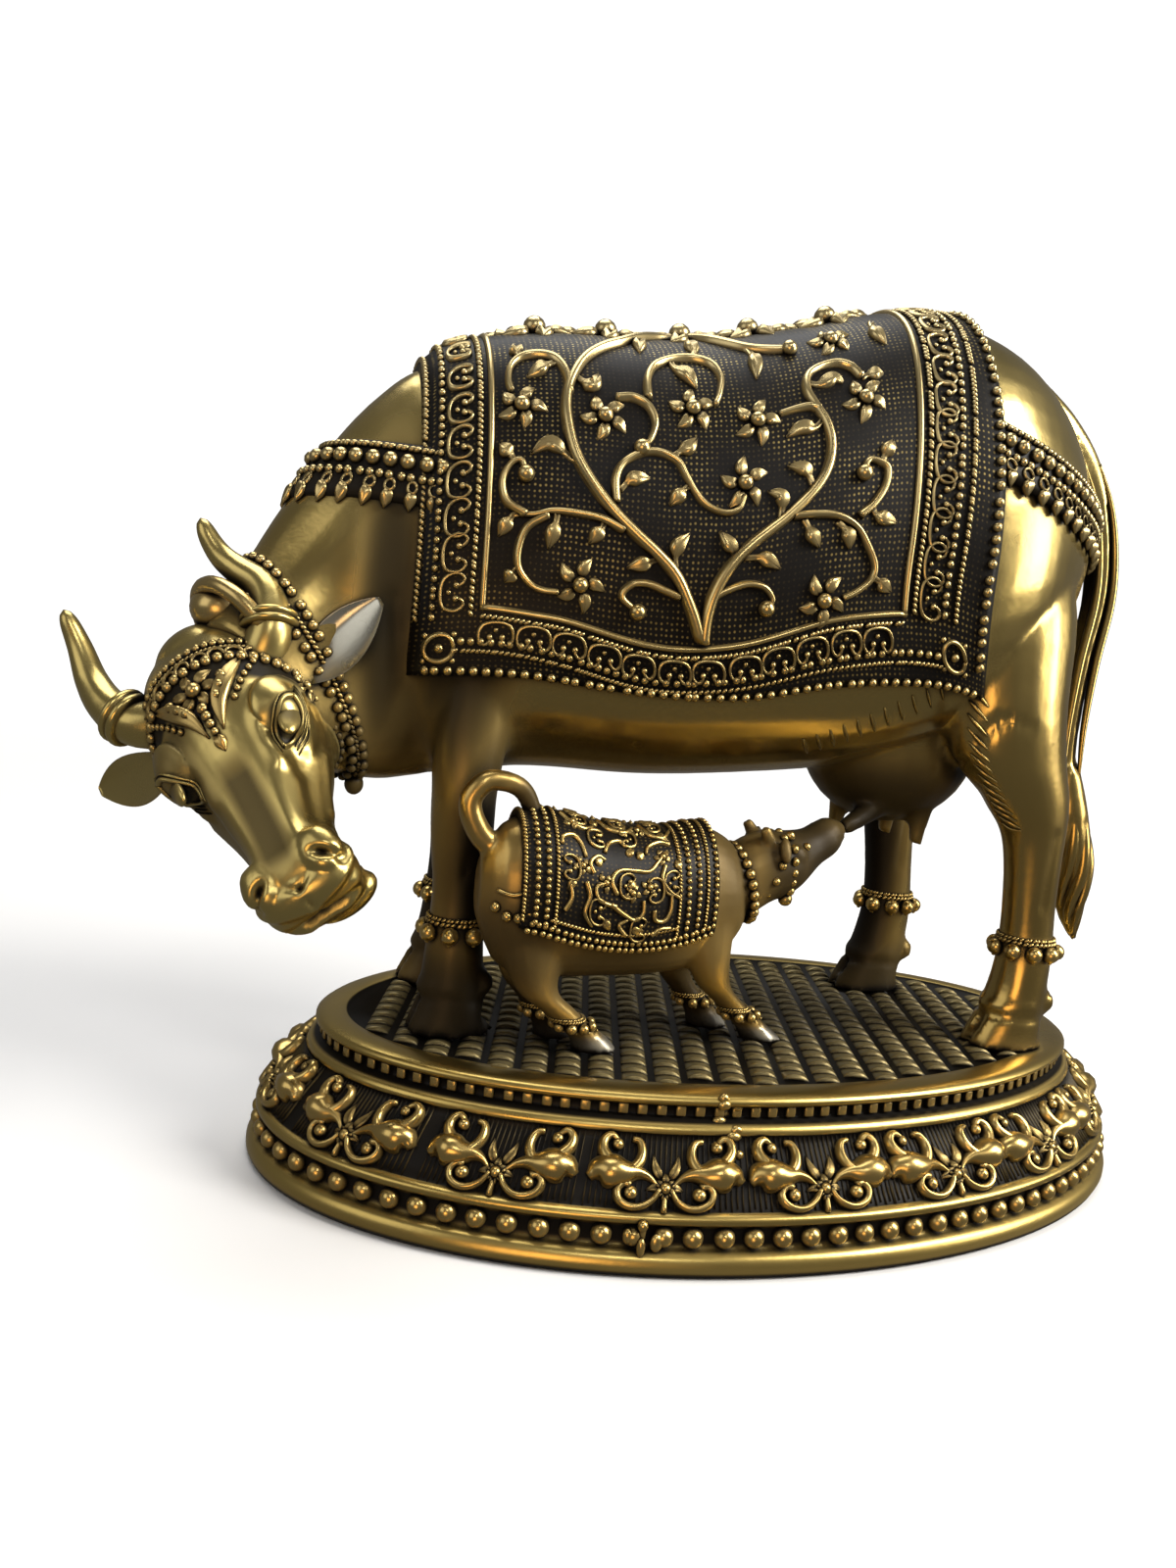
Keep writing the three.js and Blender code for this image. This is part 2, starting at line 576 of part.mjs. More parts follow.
const calfLegs = {
  nearHind: [[-38, -19.6, 22, 6.2, 4], [-38, -20.2, 15, 4.6, 3.4], [-36.8, -20, 10, 3.1, 2.5],
    [-33.5, -19.2, 7, 2.7, 2.2], [-30.3, -18.2, 4.2, 2.6, 2.3], [-27.5, -17.4, 1.8, 3, 2.4],
    [-26.4, -17.2, 0, 3.6, 2.6]],
  farHind: [[-38, -15, 22, 5.5, 3.6], [-38.4, -14, 15, 4, 3], [-37.6, -13, 10, 2.9, 2.4],
    [-35.4, -12.2, 7, 2.6, 2.2], [-33.4, -11.6, 4.2, 2.6, 2.3], [-31.6, -11.2, 1.8, 3, 2.4],
    [-30.8, -11, 0, 3.6, 2.6]],
  nearFront: [[-10, -15.5, 22, 5, 4], [-9.6, -16.4, 15, 3.8, 3.2], [-8, -16.4, 10, 2.8, 2.4],
    [-5, -15.4, 7, 2.4, 2.1], [-2, -14.4, 4.4, 2.5, 2.2], [1, -13.6, 1.8, 2.9, 2.4],
    [2.6, -13.4, 0, 3.6, 2.6]],
  farFront: [[-11, -10.5, 22, 5, 4], [-11.5, -9, 15, 3.8, 3.2], [-11.5, -8.4, 10, 2.8, 2.4],
    [-9.5, -7.8, 7, 2.4, 2.1], [-7, -7.4, 4.4, 2.5, 2.2], [-5, -7, 1.8, 2.9, 2.4], [-4, -6.8, 0, 3.6, 2.6]],
};

function calfHead() {
  const nose = muzzle.tip.clone().addScaledVector(muzzle.reach, -2);
  const path = [V(-5, -12.4, 24), V(-1, -12, 27), V(4, -11.2, 28.5), V(9, -10.4, 30.8), nose, muzzle.tip];
  const rows = [[0, 5.2], [0.25, 5.6], [0.45, 5.2], [0.7, 3.3], [0.86, 3], [1, 1.6]];
  const parts = [cord(path, (t) => through(rows, t)[0], 6, 7)];
  for (let i = 0; i < 6; i += 1) {
    const angle = 2 * PI * i / 6;
    parts.push(bead(V(-3.6 + 1.6 * cos(angle), -12.3 + 5.4 * sin(angle), 25 - 5.6 * cos(angle)), 1.3));
  }
  for (const side of [-1, 1]) {
    parts.push(cord([V(-1, -12 + side * 4, 29.5), V(-3.5, -12 + side * 8.5, 28.5)],
      (t) => 0.5 + 1.8 * sin(PI * min(1, 0.2 + 0.75 * t)), 4, 3, 0.5));
    const bud = [V(0, -12 + side * 2.6, 31), V(-1.8, -12 + side * 3.4, 34.2)];
    parts.push(cord(bud, (t) => lerp(1.3, 0.7, t), 4, 1));
  }
  return parts;
}

function calfTail() {
  const path = [V(-43, -17.8, 29), V(-46.6, -17.8, 32), V(-48.4, -17.8, 36.2), V(-44.3, -17.6, 39.6),
    V(-40, -17.4, 37.6), V(-38.4, -17.2, 33.5)];
  return cord(path, (t) => lerp(1.9, 1.3, t), 5, 8);
}

function calfAnklet(rows) {
  const [x, y, z, long, wide] = rows.at(-3);
  return egg(V(x, y, z), V(long + 1, 1.6, wide + 1), 6, 2, new THREE.Euler(PI / 2, 0, 0));
}

function calf() {
  const legs = Object.values(calfLegs).map((rows) => limb(rows, 6, 6));
  const anklets = [calfLegs.nearHind, calfLegs.nearFront].map(calfAnklet);
  return join([barrelOf(calfBarrel, calfPoint, 10, 7), ...calfHead(), calfTail(), ...legs, ...anklets,
    ...calfDress()]);
}

// The plinth

// Point of an oval line, inset from the widest one
function oval(angle, inset, z) {
  const [halfLength, halfDepth] = [plateau.x + plinthSpread - inset, plateau.y + plinthSpread - inset];
  return V(halfLength * cos(angle), halfDepth * sin(angle), z);
}

// The way that the side of the plinth faces there
function facing(angle) {
  return Math.atan2(sin(angle) / (plateau.y + plinthSpread), cos(angle) / (plateau.x + plinthSpread));
}

// Angles that divide an oval line into equal lengths, near enough to one pitch
function evenly(inset, pitch) {
  const fine = 720;
  const lengths = [0];
  for (let i = 0; i < fine; i += 1) {
    const step = oval(2 * PI * i / fine, inset, 0).distanceTo(oval(2 * PI * (i + 1) / fine, inset, 0));
    lengths.push(lengths[i] + step);
  }
  const count = 2 * round(lengths.at(-1) / pitch / 2);
  const angles = [];
  let k = 0;
  for (let i = 0; i < count; i += 1) {
    while (lengths[k] < lengths.at(-1) * i / count) k += 1;
    angles.push(2 * PI * k / fine);
  }
  return angles;
}

const level = { flange: flangeHeight };
level.beads = level.flange + beadBandHeight;
level.lower = level.beads + lowerFilletHeight;
level.frieze = level.lower + friezeHeight;
level.upper = level.frieze + upperFilletHeight;
level.neck = level.upper + neckHeight;
const inset = { beads: 2 * bandDepth, lower: bandDepth };
inset.frieze = inset.lower + friezeSlope;
inset.rim = inset.frieze + bandDepth;
inset.neck = inset.rim + bandDepth;
inset.mat = plinthSpread + rimWidth;

function plinthBody() {
  const profile = [
    [1.2, 0], [0, flangeHeight / 2], [0.7, flangeHeight],
    [inset.beads, flangeHeight + 0.3], [inset.beads, level.beads - 0.3],
    [inset.lower, level.beads], [inset.lower + 0.4, level.lower],
    [inset.lower + 3, level.lower + friezeHeight * 0.4], [inset.frieze, level.frieze],
    [inset.frieze - 0.4, level.frieze + upperFilletHeight / 2], [inset.frieze, level.upper],
    [inset.neck, level.upper + 0.2], [inset.neck, level.neck],
    [inset.rim - 0.6, level.neck + rimHeight * 0.4], [plinthSpread, plinthHeight],
    [inset.mat, plinthHeight], [inset.mat, plinthHeight - matRise],
  ];
  const far = plateau.x + plinthSpread;
  const points = [new THREE.Vector2(0, 0), ...profile.map(([i, z]) => new THREE.Vector2(far - i, z)),
    new THREE.Vector2(0, plinthHeight - matRise)];
  const lathe = new THREE.LatheGeometry(points, 28);
  return solid(moved(lathe, (p) => {
    const reach = sqrt(p.x * p.x + p.z * p.z);
    if (reach < 1e-6) return V(0, 0, p.y);
    return oval(Math.atan2(-p.z, p.x), far - reach, p.y);
  }));
}

// Ribs of the mat run from front to back over the whole plateau
function matRibs() {
  const reachX = plateau.x + plinthSpread - inset.mat;
  const reachY = plateau.y + plinthSpread - inset.mat;
  const count = 2 * Math.floor(reachX / matPitch) - 1;
  const ribs = [];
  for (let i = 0; i < count; i += 1) {
    const x = (i - (count - 1) / 2) * matPitch;
    const length = 2 * reachY * sqrt(1 - (x / reachX) ** 2);
    const geometry = new THREE.BoxGeometry(matPitch * 0.62, length, 2 * matRise);
    ribs.push(solid(geometry.translate(x, 0, plinthHeight - matRise)));
  }
  return ribs;
}

// Place on the sloping frieze: height from 0 to 1, and how far it stands out
function friezePoint(angle, height, out) {
  const z = lerp(level.lower, level.frieze, height);
  return oval(angle, lerp(inset.lower + 1.6, inset.frieze, height ** 0.85) - out, z);
}

// Fat leaves in mirrored pairs, each leaning away from its pair's middle
function friezeScrolls() {
  const leaf = { aside: 5.2, height: 0.5, radii: V(3.4, 5, 2.4), lean: 0.5, sink: 0.9 };
  const angles = evenly(inset.lower + friezeSlope / 2, scrollPitch);
  return angles.flatMap((angle, i) => {
    const next = angles[i + 1] ?? 2 * PI;
    const share = (next - angle) / scrollPitch;
    return [-1, 1].map((side) => {
      const turned = angle + side * leaf.aside * share;
      const turn = new THREE.Euler(PI / 2, side * leaf.lean, facing(turned) + PI / 2, 'ZYX');
      return egg(friezePoint(turned, leaf.height, -leaf.sink), leaf.radii, 4, 2, turn);
    });
  });
}

function plinth() {
  const sink = 0.5;
  const radii = V(beadRadius, beadRadius, beadRadius).addScalar(sink / 2);
  const beads = evenly(inset.lower, beadPitch).map((angle) => {
    const centre = oval(angle, inset.beads + sink, (level.flange + level.beads) / 2);
    return egg(centre, radii, 4, 2, new THREE.Euler(0, 0, facing(angle)));
  });
  return join([plinthBody(), ...matRibs(), ...beads, ...friezeScrolls()]);
}

// The group

const brass = new THREE.MeshStandardMaterial({ color: 0xb08a3c, roughness: 0.28, metalness: 1 });
const darkBrass = new THREE.MeshStandardMaterial({ color: 0x7a6030, roughness: 0.4, metalness: 1 });

const standing = (figure) => figure.scale(unit).translate([0, 0, plinthHeight]);

const group = new THREE.Group();
group.add(meshOf(plinth(), 'plinth', darkBrass));
group.add(meshOf(standing(cow()), 'cow', brass));
group.add(meshOf(standing(calf()), 'calf', brass));

export default group;
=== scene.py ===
# %% [markdown]
# # A cow and her calf, cast in brass
# The object is a table-top group: a cow in festival dress turns her head down to her suckling calf,
# and both stand on an oval moulded plinth. Every form was cast, blackened all over and then rubbed
# bright, so the high places shine and the hollows stay black. This lesson builds the group in the
# order of a modeller: first the naked figures in soft clay, then the dress laid on them, then the
# plinth, and last the finish. All shapes are worked out in millimetres and shrunk to metres at the end.

# %% Tools
import bmesh
import bpy
import numpy as np
from math import acos, cos, exp, pi, radians, sin
from mathutils import Matrix, Vector
from mathutils.bvhtree import BVHTree


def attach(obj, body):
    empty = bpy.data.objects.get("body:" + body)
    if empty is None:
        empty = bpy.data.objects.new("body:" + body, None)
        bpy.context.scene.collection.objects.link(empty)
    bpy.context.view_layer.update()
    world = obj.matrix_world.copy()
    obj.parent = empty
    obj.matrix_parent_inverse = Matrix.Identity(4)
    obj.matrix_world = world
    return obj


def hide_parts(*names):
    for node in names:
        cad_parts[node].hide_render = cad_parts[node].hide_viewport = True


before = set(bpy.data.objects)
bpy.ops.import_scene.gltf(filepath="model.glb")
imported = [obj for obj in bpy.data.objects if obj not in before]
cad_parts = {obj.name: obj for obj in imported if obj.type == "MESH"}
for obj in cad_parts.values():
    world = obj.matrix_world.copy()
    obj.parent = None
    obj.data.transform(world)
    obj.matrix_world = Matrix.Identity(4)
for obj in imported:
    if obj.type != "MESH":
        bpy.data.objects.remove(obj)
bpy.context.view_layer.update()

MM = 0.001
PLINTH_TOP = 22.0

# %% [markdown]
# ## Camera
# The camera stands where the photographer stood. Its place and its three axes were worked out from
# the plinth's ovals, so the render lies over the photograph. A lens of 27 mm on a sensor of 36 mm
# is a close view, as with a telephone held near a small thing.

# %% Camera
camera_place = Vector((-81.549, -176.957, 83.832)) * MM
camera_right = Vector((0.95323, -0.28622, 0.09709))
camera_up = Vector((-0.05440, 0.15352, 0.98665))
camera_back = camera_right.cross(camera_up).normalized()
camera_data = bpy.data.cameras.new("camera")
camera_data.lens = 27.0
camera_data.sensor_width = 36.0
camera_data.clip_start = 0.01
camera = bpy.data.objects.new("camera", camera_data)
axes = Matrix((camera_right, camera_up, camera_back)).transposed()
camera.matrix_world = Matrix.Translation(camera_place) @ axes.to_4x4()
bpy.context.scene.collection.objects.link(camera)
bpy.context.scene.camera = camera
print("camera stands", round(camera_place.length, 3), "m from the plinth's middle")

# %% [markdown]
# ## Stage
# A pale floor runs out to a round wall. Both glow softly far from the middle, so that no horizon
# shows, and neither is mirrored in the brass, which keeps the dark side that polished metal has in a
# dim room. Soft lamps stand at the right, the left and above.

# %% Stage
def link(name, data):
    """A mesh or a lamp as an object of the scene."""
    made = bpy.data.objects.new(name, data)
    bpy.context.scene.collection.objects.link(made)
    return made


def plain(name, colour, rough):
    """A dull material of one colour."""
    material = bpy.data.materials.new(name)
    material.use_nodes = True
    shader = material.node_tree.nodes["Principled BSDF"]
    shader.inputs["Base Color"].default_value = (*colour, 1)
    shader.inputs["Roughness"].default_value = rough
    return material


def lamp(name, place, size, watts, colour=(1, 1, 1), aim=(-0.01, 0, 0.07)):
    """A square soft lamp that faces its aim."""
    data = bpy.data.lights.new(name, "AREA")
    data.size = size
    data.energy = watts
    data.color = colour
    made = link(name, data)
    made.location = place
    made.rotation_euler = (Vector(aim) - Vector(place)).to_track_quat("-Z", "Y").to_euler()


def feed(tree, node, inputs):
    """Gives each input of a node a number, a colour or the output of another node."""
    for socket, value in inputs.items():
        if isinstance(value, bpy.types.NodeSocket):
            tree.links.new(value, node.inputs[socket])
        else:
            node.inputs[socket].default_value = value


def ranged(tree, value, low, high, to_low=0.0, to_high=1.0, curve="LINEAR"):
    """Stretches a value from low to high over the range from to_low to to_high."""
    node = tree.nodes.new("ShaderNodeMapRange")
    node.interpolation_type = curve
    feed(tree, node, {"Value": value, "From Min": low, "From Max": high, "To Min": to_low,
                      "To Max": to_high})
    return node.outputs["Result"]


def backdrop(name):
    """Dull white that glows by itself far from the middle, so that every view has a white ground."""
    material = plain(name, (0.84, 0.84, 0.84), 0.7)
    tree = material.node_tree
    far = tree.nodes.new("ShaderNodeVectorMath")
    far.operation = "LENGTH"
    feed(tree, far, {0: tree.nodes.new("ShaderNodeTexCoord").outputs["Object"]})
    glow = ranged(tree, far.outputs["Value"], 0.2, 1.3, 0.0, 0.97, "SMOOTHSTEP")
    feed(tree, tree.nodes["Principled BSDF"], {"Emission Color": (1, 1, 1, 1), "Emission Strength": glow})
    return material


stage = bmesh.new()
bmesh.ops.create_grid(stage, x_segments=2, y_segments=2, size=6.0)
bmesh.ops.create_cone(stage, cap_ends=False, segments=64, radius1=5.0, radius2=5.0, depth=10.0)
floor_mesh = bpy.data.meshes.new("floor")
stage.to_mesh(floor_mesh)
stage.free()
floor = link("floor", floor_mesh)
floor.data.materials.append(backdrop("pale floor"))
floor.visible_glossy = False
floor.visible_diffuse = False
lamp("window", (0.62, -0.45, 0.62), 0.4, 11, (1, 0.96, 0.9))
lamp("left screen", (-0.85, -0.35, 0.45), 0.6, 1.3)
lamp("top screen", (-0.05, 0.25, 0.95), 0.7, 7)
lamp("front strip", (-0.1, -0.95, 0.75), 0.25, 1.6)
lamp("right strip", (0.5, -0.24, 0.17), 0.2, 1.3, (1, 0.97, 0.88))
lamp("amber strip", (-0.28, -0.62, 0.05), 0.26, 0.9, (1, 0.62, 0.28), aim=(0.02, 0, 0.07))
world = bpy.data.worlds.new("room")
world.use_nodes = True
world.node_tree.nodes["Background"].inputs["Color"].default_value = (1, 0.98, 0.95, 1)
world.node_tree.nodes["Background"].inputs["Strength"].default_value = 0.16
bpy.context.scene.world = world
bpy.context.scene.view_settings.view_transform = "Standard"
print("stage set")

# %% [markdown]
# ## Brass
# The finish has three layers: warm brass, paler on the high parts of the back and darker and redder below,
# where the colour is painted shade and a painted warm reflection, a fine grain of pits from the casting,
# and the black patina, which is mixed in wherever the surface lies sheltered. Ambient occlusion finds those
# sheltered places, as black wax does in the workshop. A second ambient occlusion, of wider reach, paints
# shade where the parts shelter each other.

# %% Materials
def brass(name, high, low, rough, shelter, blacken=1.0, woven=0.0, wide=0.5):
    """Antique brass: colours for the upper and the lower parts, between which the cow runs from pale on top
    to painted shade and a painted warm reflection below, its roughness where it shines, how far the black
    patina reaches out of a hollow in mm, how much of it there is in small hollows, how much painted shade
    lies in wide hollows where the parts shelter each other, and how many woven dots lie on a millimetre."""
    material = bpy.data.materials.new(name)
    material.use_nodes = True
    tree = material.node_tree

    def add(kind, inputs):
        node = tree.nodes.new(kind)
        feed(tree, node, inputs)
        return node

    def worked(operation, *values):
        node = tree.nodes.new("ShaderNodeMath")
        node.operation = operation
        feed(tree, node, dict(enumerate(values)))
        return node.outputs[0]

    def mixed(share, first, second):
        node = tree.nodes.new("ShaderNodeMix")
        node.data_type = "RGBA"
        feed(tree, node, {0: share, 6: first, 7: second})
        return node.outputs[2]

    def stored(attribute):
        node = tree.nodes.new("ShaderNodeAttribute")
        node.attribute_name = attribute
        return node.outputs["Fac"]

    def openness(reach):
        node = add("ShaderNodeAmbientOcclusion", {"Distance": reach * MM})
        node.samples = 8
        return node.outputs["AO"]

    place = tree.nodes.new("ShaderNodeTexCoord").outputs["Object"]
    height = add("ShaderNodeSeparateXYZ", {0: place}).outputs["Z"]
    # Paler on top and darker and redder towards the bottom: painted shade and a painted warm reflection low
    # on the cow.
    shaded_by_height = mixed(ranged(tree, height, 0.06, 0.125), (*low, 1), (*high, 1))
    metal = mixed(stored("silvered"), shaded_by_height, silver)
    patina = ranged(tree, openness(shelter), 0.42, 0.9, curve="SMOOTHSTEP")
    bright_share = worked("MULTIPLY_ADD", patina, blacken, 1 - blacken)
    # Painted shade: a wide ambient occlusion, 14 mm out, darkens the places that the head, the cloth and
    # the body shelter.
    painted_shade = ranged(tree, openness(shade_reach), 0.2, 0.8, 1 - wide, curve="SMOOTHSTEP")
    bright_share = worked("MULTIPLY", bright_share, painted_shade)
    # Less bright metal where the stored black lies: black patina, and painted shade on the figures.
    bright_share = worked("MULTIPLY", bright_share, worked("SUBTRACT", 1, stored("patina_and_painted_shade")))
    if woven:
        cloth = tree.nodes.new("ShaderNodeUVMap").outputs[0]
        dots = add("ShaderNodeTexVoronoi", {"Vector": cloth, "Scale": woven, "Randomness": 0.2})
        spark = ranged(tree, dots.outputs["Distance"], 0.3, 0.16, 0.0, 0.75)
        patches = add("ShaderNodeTexNoise", {"Vector": cloth, "Scale": 0.09, "Detail": 2.0})
        kept = ranged(tree, patches.outputs[0], 0.38, 0.6, 0.15)
        bright_share = worked("MULTIPLY", worked("MULTIPLY", spark, bright_share), kept)
    bright_share = worked("POWER", bright_share, 1.7)
    cloud = add("ShaderNodeTexNoise", {"Vector": place, "Scale": 60.0, "Detail": 3.0})
    gloss = ranged(tree, bright_share, 0.0, 1.0, black_rough, rough)
    pits = add("ShaderNodeTexNoise", {"Vector": place, "Scale": 900.0, "Detail": 4.0})
    bump = add("ShaderNodeBump", {"Strength": 0.12, "Distance": 0.15 * MM, "Height": pits.outputs[0]})
    feed(tree, tree.nodes["Principled BSDF"], {
        "Specular IOR Level": 0.12, "Base Color": mixed(bright_share, black, metal), "Metallic": bright_share,
        "Roughness": worked("MULTIPLY_ADD", cloud.outputs[0], 0.16, gloss),
        "Normal": bump.outputs["Normal"]})
    return material


black, silver = (0.006, 0.005, 0.004, 1), (0.5, 0.5, 0.46, 1)
gold, pale, bronze = (0.53, 0.41, 0.15), (0.56, 0.44, 0.21), (0.40, 0.275, 0.085)
# The roughness of bare black, and how far in mm the painted shade of wide hollows reaches; in each finish,
# wide is how much of that painted shade there is.
black_rough, shade_reach = 0.36, 14
finish = {
    "hide": brass("polished hide", gold, bronze, 0.16, 5.0, blacken=0.9, wide=0.8),
    "head": brass("head brass", gold, (0.49, 0.375, 0.13), 0.2, 4.0, blacken=0.9, wide=0.8),
    "relief": brass("rubbed relief", pale, (0.54, 0.38, 0.13), 0.2, 1.6, wide=0.35),
    "ground": brass("blackened weave", gold, bronze, 0.3, 2.5, woven=1.35, wide=0.2),
    "calf": brass("calf hide", gold, (0.46, 0.31, 0.10), 0.24, 3.0, wide=0.75),
    "plinth": brass("plinth brass", gold, (0.50, 0.36, 0.11), 0.22, 2.0, wide=0.3),
    "mat": brass("woven mat", gold, (0.34, 0.27, 0.12), 0.28, 1.8, wide=0.6),
}
print("finishes", ", ".join(finish))

# %% [markdown]
# ## Curves and skins
# A figure is described by rows: each row gives a place along the body and the sizes of the section
# there, and a smooth curve runs through the rows. All the forms are written on the figures' own grid,
# in which the ground is at zero and one unit is a millimetre.

# %% Smooth rows
def clamp(value, low=0.0, high=1.0):
    return min(high, max(low, value))


def fuller(value, power):
    """A sine or cosine that keeps its sign: a power below 1 makes a section fuller than an oval."""
    return (1 if value >= 0 else -1) * abs(value) ** power


def lerp(a, b, t):
    return a + (b - a) * t


def through(rows, x):
    """Values at x of a smooth curve through rows of [x, value, value, ...]."""
    i = 0
    while i < len(rows) - 2 and x > rows[i + 1][0]:
        i += 1
    a, b = rows[i], rows[i + 1]
    before, after = rows[max(0, i - 1)], rows[min(len(rows) - 1, i + 2)]
    t = clamp((x - a[0]) / (b[0] - a[0]))
    t2, t3 = t * t, t * t * t
    values = []
    for k in range(1, len(a)):
        slope_a = (b[k] - before[k]) / (b[0] - before[0]) * (b[0] - a[0])
        slope_b = (after[k] - a[k]) / (after[0] - a[0]) * (b[0] - a[0])
        values.append(a[k] * (2 * t3 - 3 * t2 + 1) + slope_a * (t3 - 2 * t2 + t)
                      + b[k] * (3 * t2 - 2 * t3) + slope_b * (t3 - t2))
    return values


def along(rows, t):
    """The same for rows that are spread evenly from t = 0 to t = 1."""
    last = len(rows) - 1
    return through([(i / last, *row) for i, row in enumerate(rows)], t)


def lengths_of(points):
    """How far each point lies from the first, measured along the line of points."""
    lengths = [0.0]
    for a, b in zip(points, points[1:]):
        lengths.append(lengths[-1] + (b - a).length)
    return lengths


def smooth_path(points, count):
    """Evenly spread places on the smooth curve through a few points."""
    last = 12 * (len(points) - 1)
    rows = [(k / (len(points) - 1), *p) for k, p in enumerate(points)]
    fine = [Vector(through(rows, k / last)) for k in range(last + 1)]
    lengths = lengths_of(fine)
    path = []
    k = 0
    for i in range(count):
        goal = lengths[-1] * i / (count - 1)
        while k < last - 1 and lengths[k + 1] < goal:
            k += 1
        share = (goal - lengths[k]) / max(lengths[k + 1] - lengths[k], 1e-9)
        path.append(fine[k].lerp(fine[k + 1], clamp(share)))
    return path

# %% [markdown]
# Thousands of small shapes are cheap when each is copied from a pattern. A pile gathers the copies:
# it holds points and faces until the whole piece is turned into one mesh. The patterns themselves
# are made once, by Blender's own ball.

# %% Piles
class Pile:
    """Shapes that are gathered before they become one mesh."""
    def __init__(self):
        self.points = []
        self.faces = []
        self.count = 0

    def add(self, points, faces):
        self.points.append(np.asarray(points, dtype=float))
        self.faces.extend([tuple(i + self.count for i in face) for face in faces])
        self.count += len(points)

    def mesh(self, name):
        made = bpy.data.meshes.new(name)
        made.from_pydata(np.concatenate(self.points).tolist(), [], self.faces)
        return made


def pattern_of(shape):
    """Points and faces of a shape, which is then let go."""
    shape.verts.index_update()
    points = np.array([v.co[:] for v in shape.verts])
    faces = [tuple(v.index for v in f.verts) for f in shape.faces]
    shape.free()
    return points, faces


patterns = {}


def ball(wide, high):
    """Points, faces, ring numbers and angles of a ball; the ring number is -1 at the two poles."""
    if (wide, high) not in patterns:
        pattern = bmesh.new()
        bmesh.ops.create_uvsphere(pattern, u_segments=wide, v_segments=high, radius=1)
        points, faces = pattern_of(pattern)
        rings = np.rint(np.arccos(np.clip(points[:, 2], -1, 1)) / pi * high).astype(int) - 1
        angles = np.arctan2(points[:, 1], points[:, 0])
        pole = np.hypot(points[:, 0], points[:, 1]) < 1e-4
        patterns[wide, high] = points, faces, rings, angles, pole
    return patterns[wide, high]


def skin(pile, sides, rings, ring, middle):
    """A closed skin: the rings of a ball move to ring(t, angle), its poles to middle(t)."""
    _, faces, numbers, angles, pole = ball(sides, rings + 1)
    points = []
    for number, angle, at_pole in zip(numbers, angles, pole):
        t = clamp(number / (rings - 1))
        points.append(tuple(middle(t) if at_pole else ring(t, angle)))
    pile.add(points, faces)


def swept(pile, bases, across, outs, sides, wide, high, groove=0.0, belly=1.0):
    """A cord through the bases: wide and high are its half-sizes at each of them."""
    steps = len(bases)
    _, faces, numbers, angles, pole = ball(sides, steps + 1)
    i = np.clip(numbers, 0, steps - 1)
    c, s = np.where(pole, 0, np.cos(angles)), np.where(pole, 0, np.sin(angles))
    crest = np.where(s > 0, s * (1 - groove * np.clip(1 - np.abs(c) * 2.2, 0, 1)), s * belly)
    pile.add(bases[i] + across[i] * (wide[i] * c)[:, None] + outs[i] * (high[i] * crest)[:, None], faces)


def size_at(size, t):
    """A size along a stem: one number, a pair from its start to its end, or a function of t."""
    if callable(size):
        return size(t)
    return lerp(*size, t) if isinstance(size, tuple) else size


def cord(pile, points, radius, sides, steps):
    """A round cord through points."""
    path = smooth_path(points, steps)
    up = (path[1] - path[0]).orthogonal().normalized()
    across, ups = [], []
    for i in range(steps):
        tangent = (path[min(i + 1, steps - 1)] - path[max(i - 1, 0)]).normalized()
        up = (up - tangent * up.dot(tangent)).normalized()
        ups.append(up[:])
        across.append(tangent.cross(up)[:])
    sizes = np.array([size_at(radius, i / (steps - 1)) for i in range(steps)])
    swept(pile, np.array([p[:] for p in path]), np.array(across), np.array(ups), sides, sizes, sizes)


def egg(pile, centre, radii, wide, high, turn=None):
    """An egg with three radii, or a ball with one, turned about its centre."""
    points, faces, *_ = ball(wide, high)
    shaped = points * np.array(radii)
    if turn:
        shaped = shaped @ np.array(turn).T
    pile.add(shaped + np.array(centre[:]), faces)


def frame_of(place, u, v):
    """Origin, first direction, outward direction and second direction of a surface at (u, v)."""
    here = Vector(place(u, v, 0))
    out = (Vector(place(u, v, 1)) - here).normalized()
    ahead = Vector(place(u + 0.004, v, 0)) - Vector(place(u - 0.004, v, 0))
    ahead = (ahead - out * ahead.dot(out)).normalized()
    return here, ahead, out, out.cross(ahead)


def laid(pile, place, path, wide, high, sides, steps, groove=0.0, sink=0.25):
    """Relief laid on a surface: a smooth stem through (u, v) places, with its half-width and height."""
    spots = smooth_path([(u, v, 0) for u, v in path], steps)
    bases = [Vector(place(s.x, s.y, 0)) for s in spots]
    outs = [(Vector(place(s.x, s.y, 1)) - b).normalized() for s, b in zip(spots, bases)]
    across = []
    for i in range(steps):
        tangent = bases[min(i + 1, steps - 1)] - bases[max(i - 1, 0)]
        across.append(tangent.cross(outs[i]).normalized()[:])
    outs = np.array([o[:] for o in outs])
    shares = [i / (steps - 1) for i in range(steps)]
    swept(pile, np.array([b[:] for b in bases]) - outs * sink, np.array(across), outs, sides,
          np.array([size_at(wide, t) for t in shares]),
          np.array([size_at(high, t) + sink for t in shares]), groove, 0.6)


def shade_and_patina_from(spot, shade_and_patina_rows):
    """How black a place is, from rows of (centre, radii, strength): patches of painted shade and black
    patina.
    """
    black = 0.0
    for centre, radii, strength in shade_and_patina_rows:
        away = sum(((a - c) / r) ** 2 for a, c, r in zip(spot, centre, radii))
        if away < 4:
            black = max(black, strength * exp(-away ** 2))
    return black


def painted(mesh, attribute, values):
    """Stores a value at every point, where the finish reads it."""
    mesh.attributes.new(attribute, "FLOAT", "POINT").data.foreach_set("value", values)


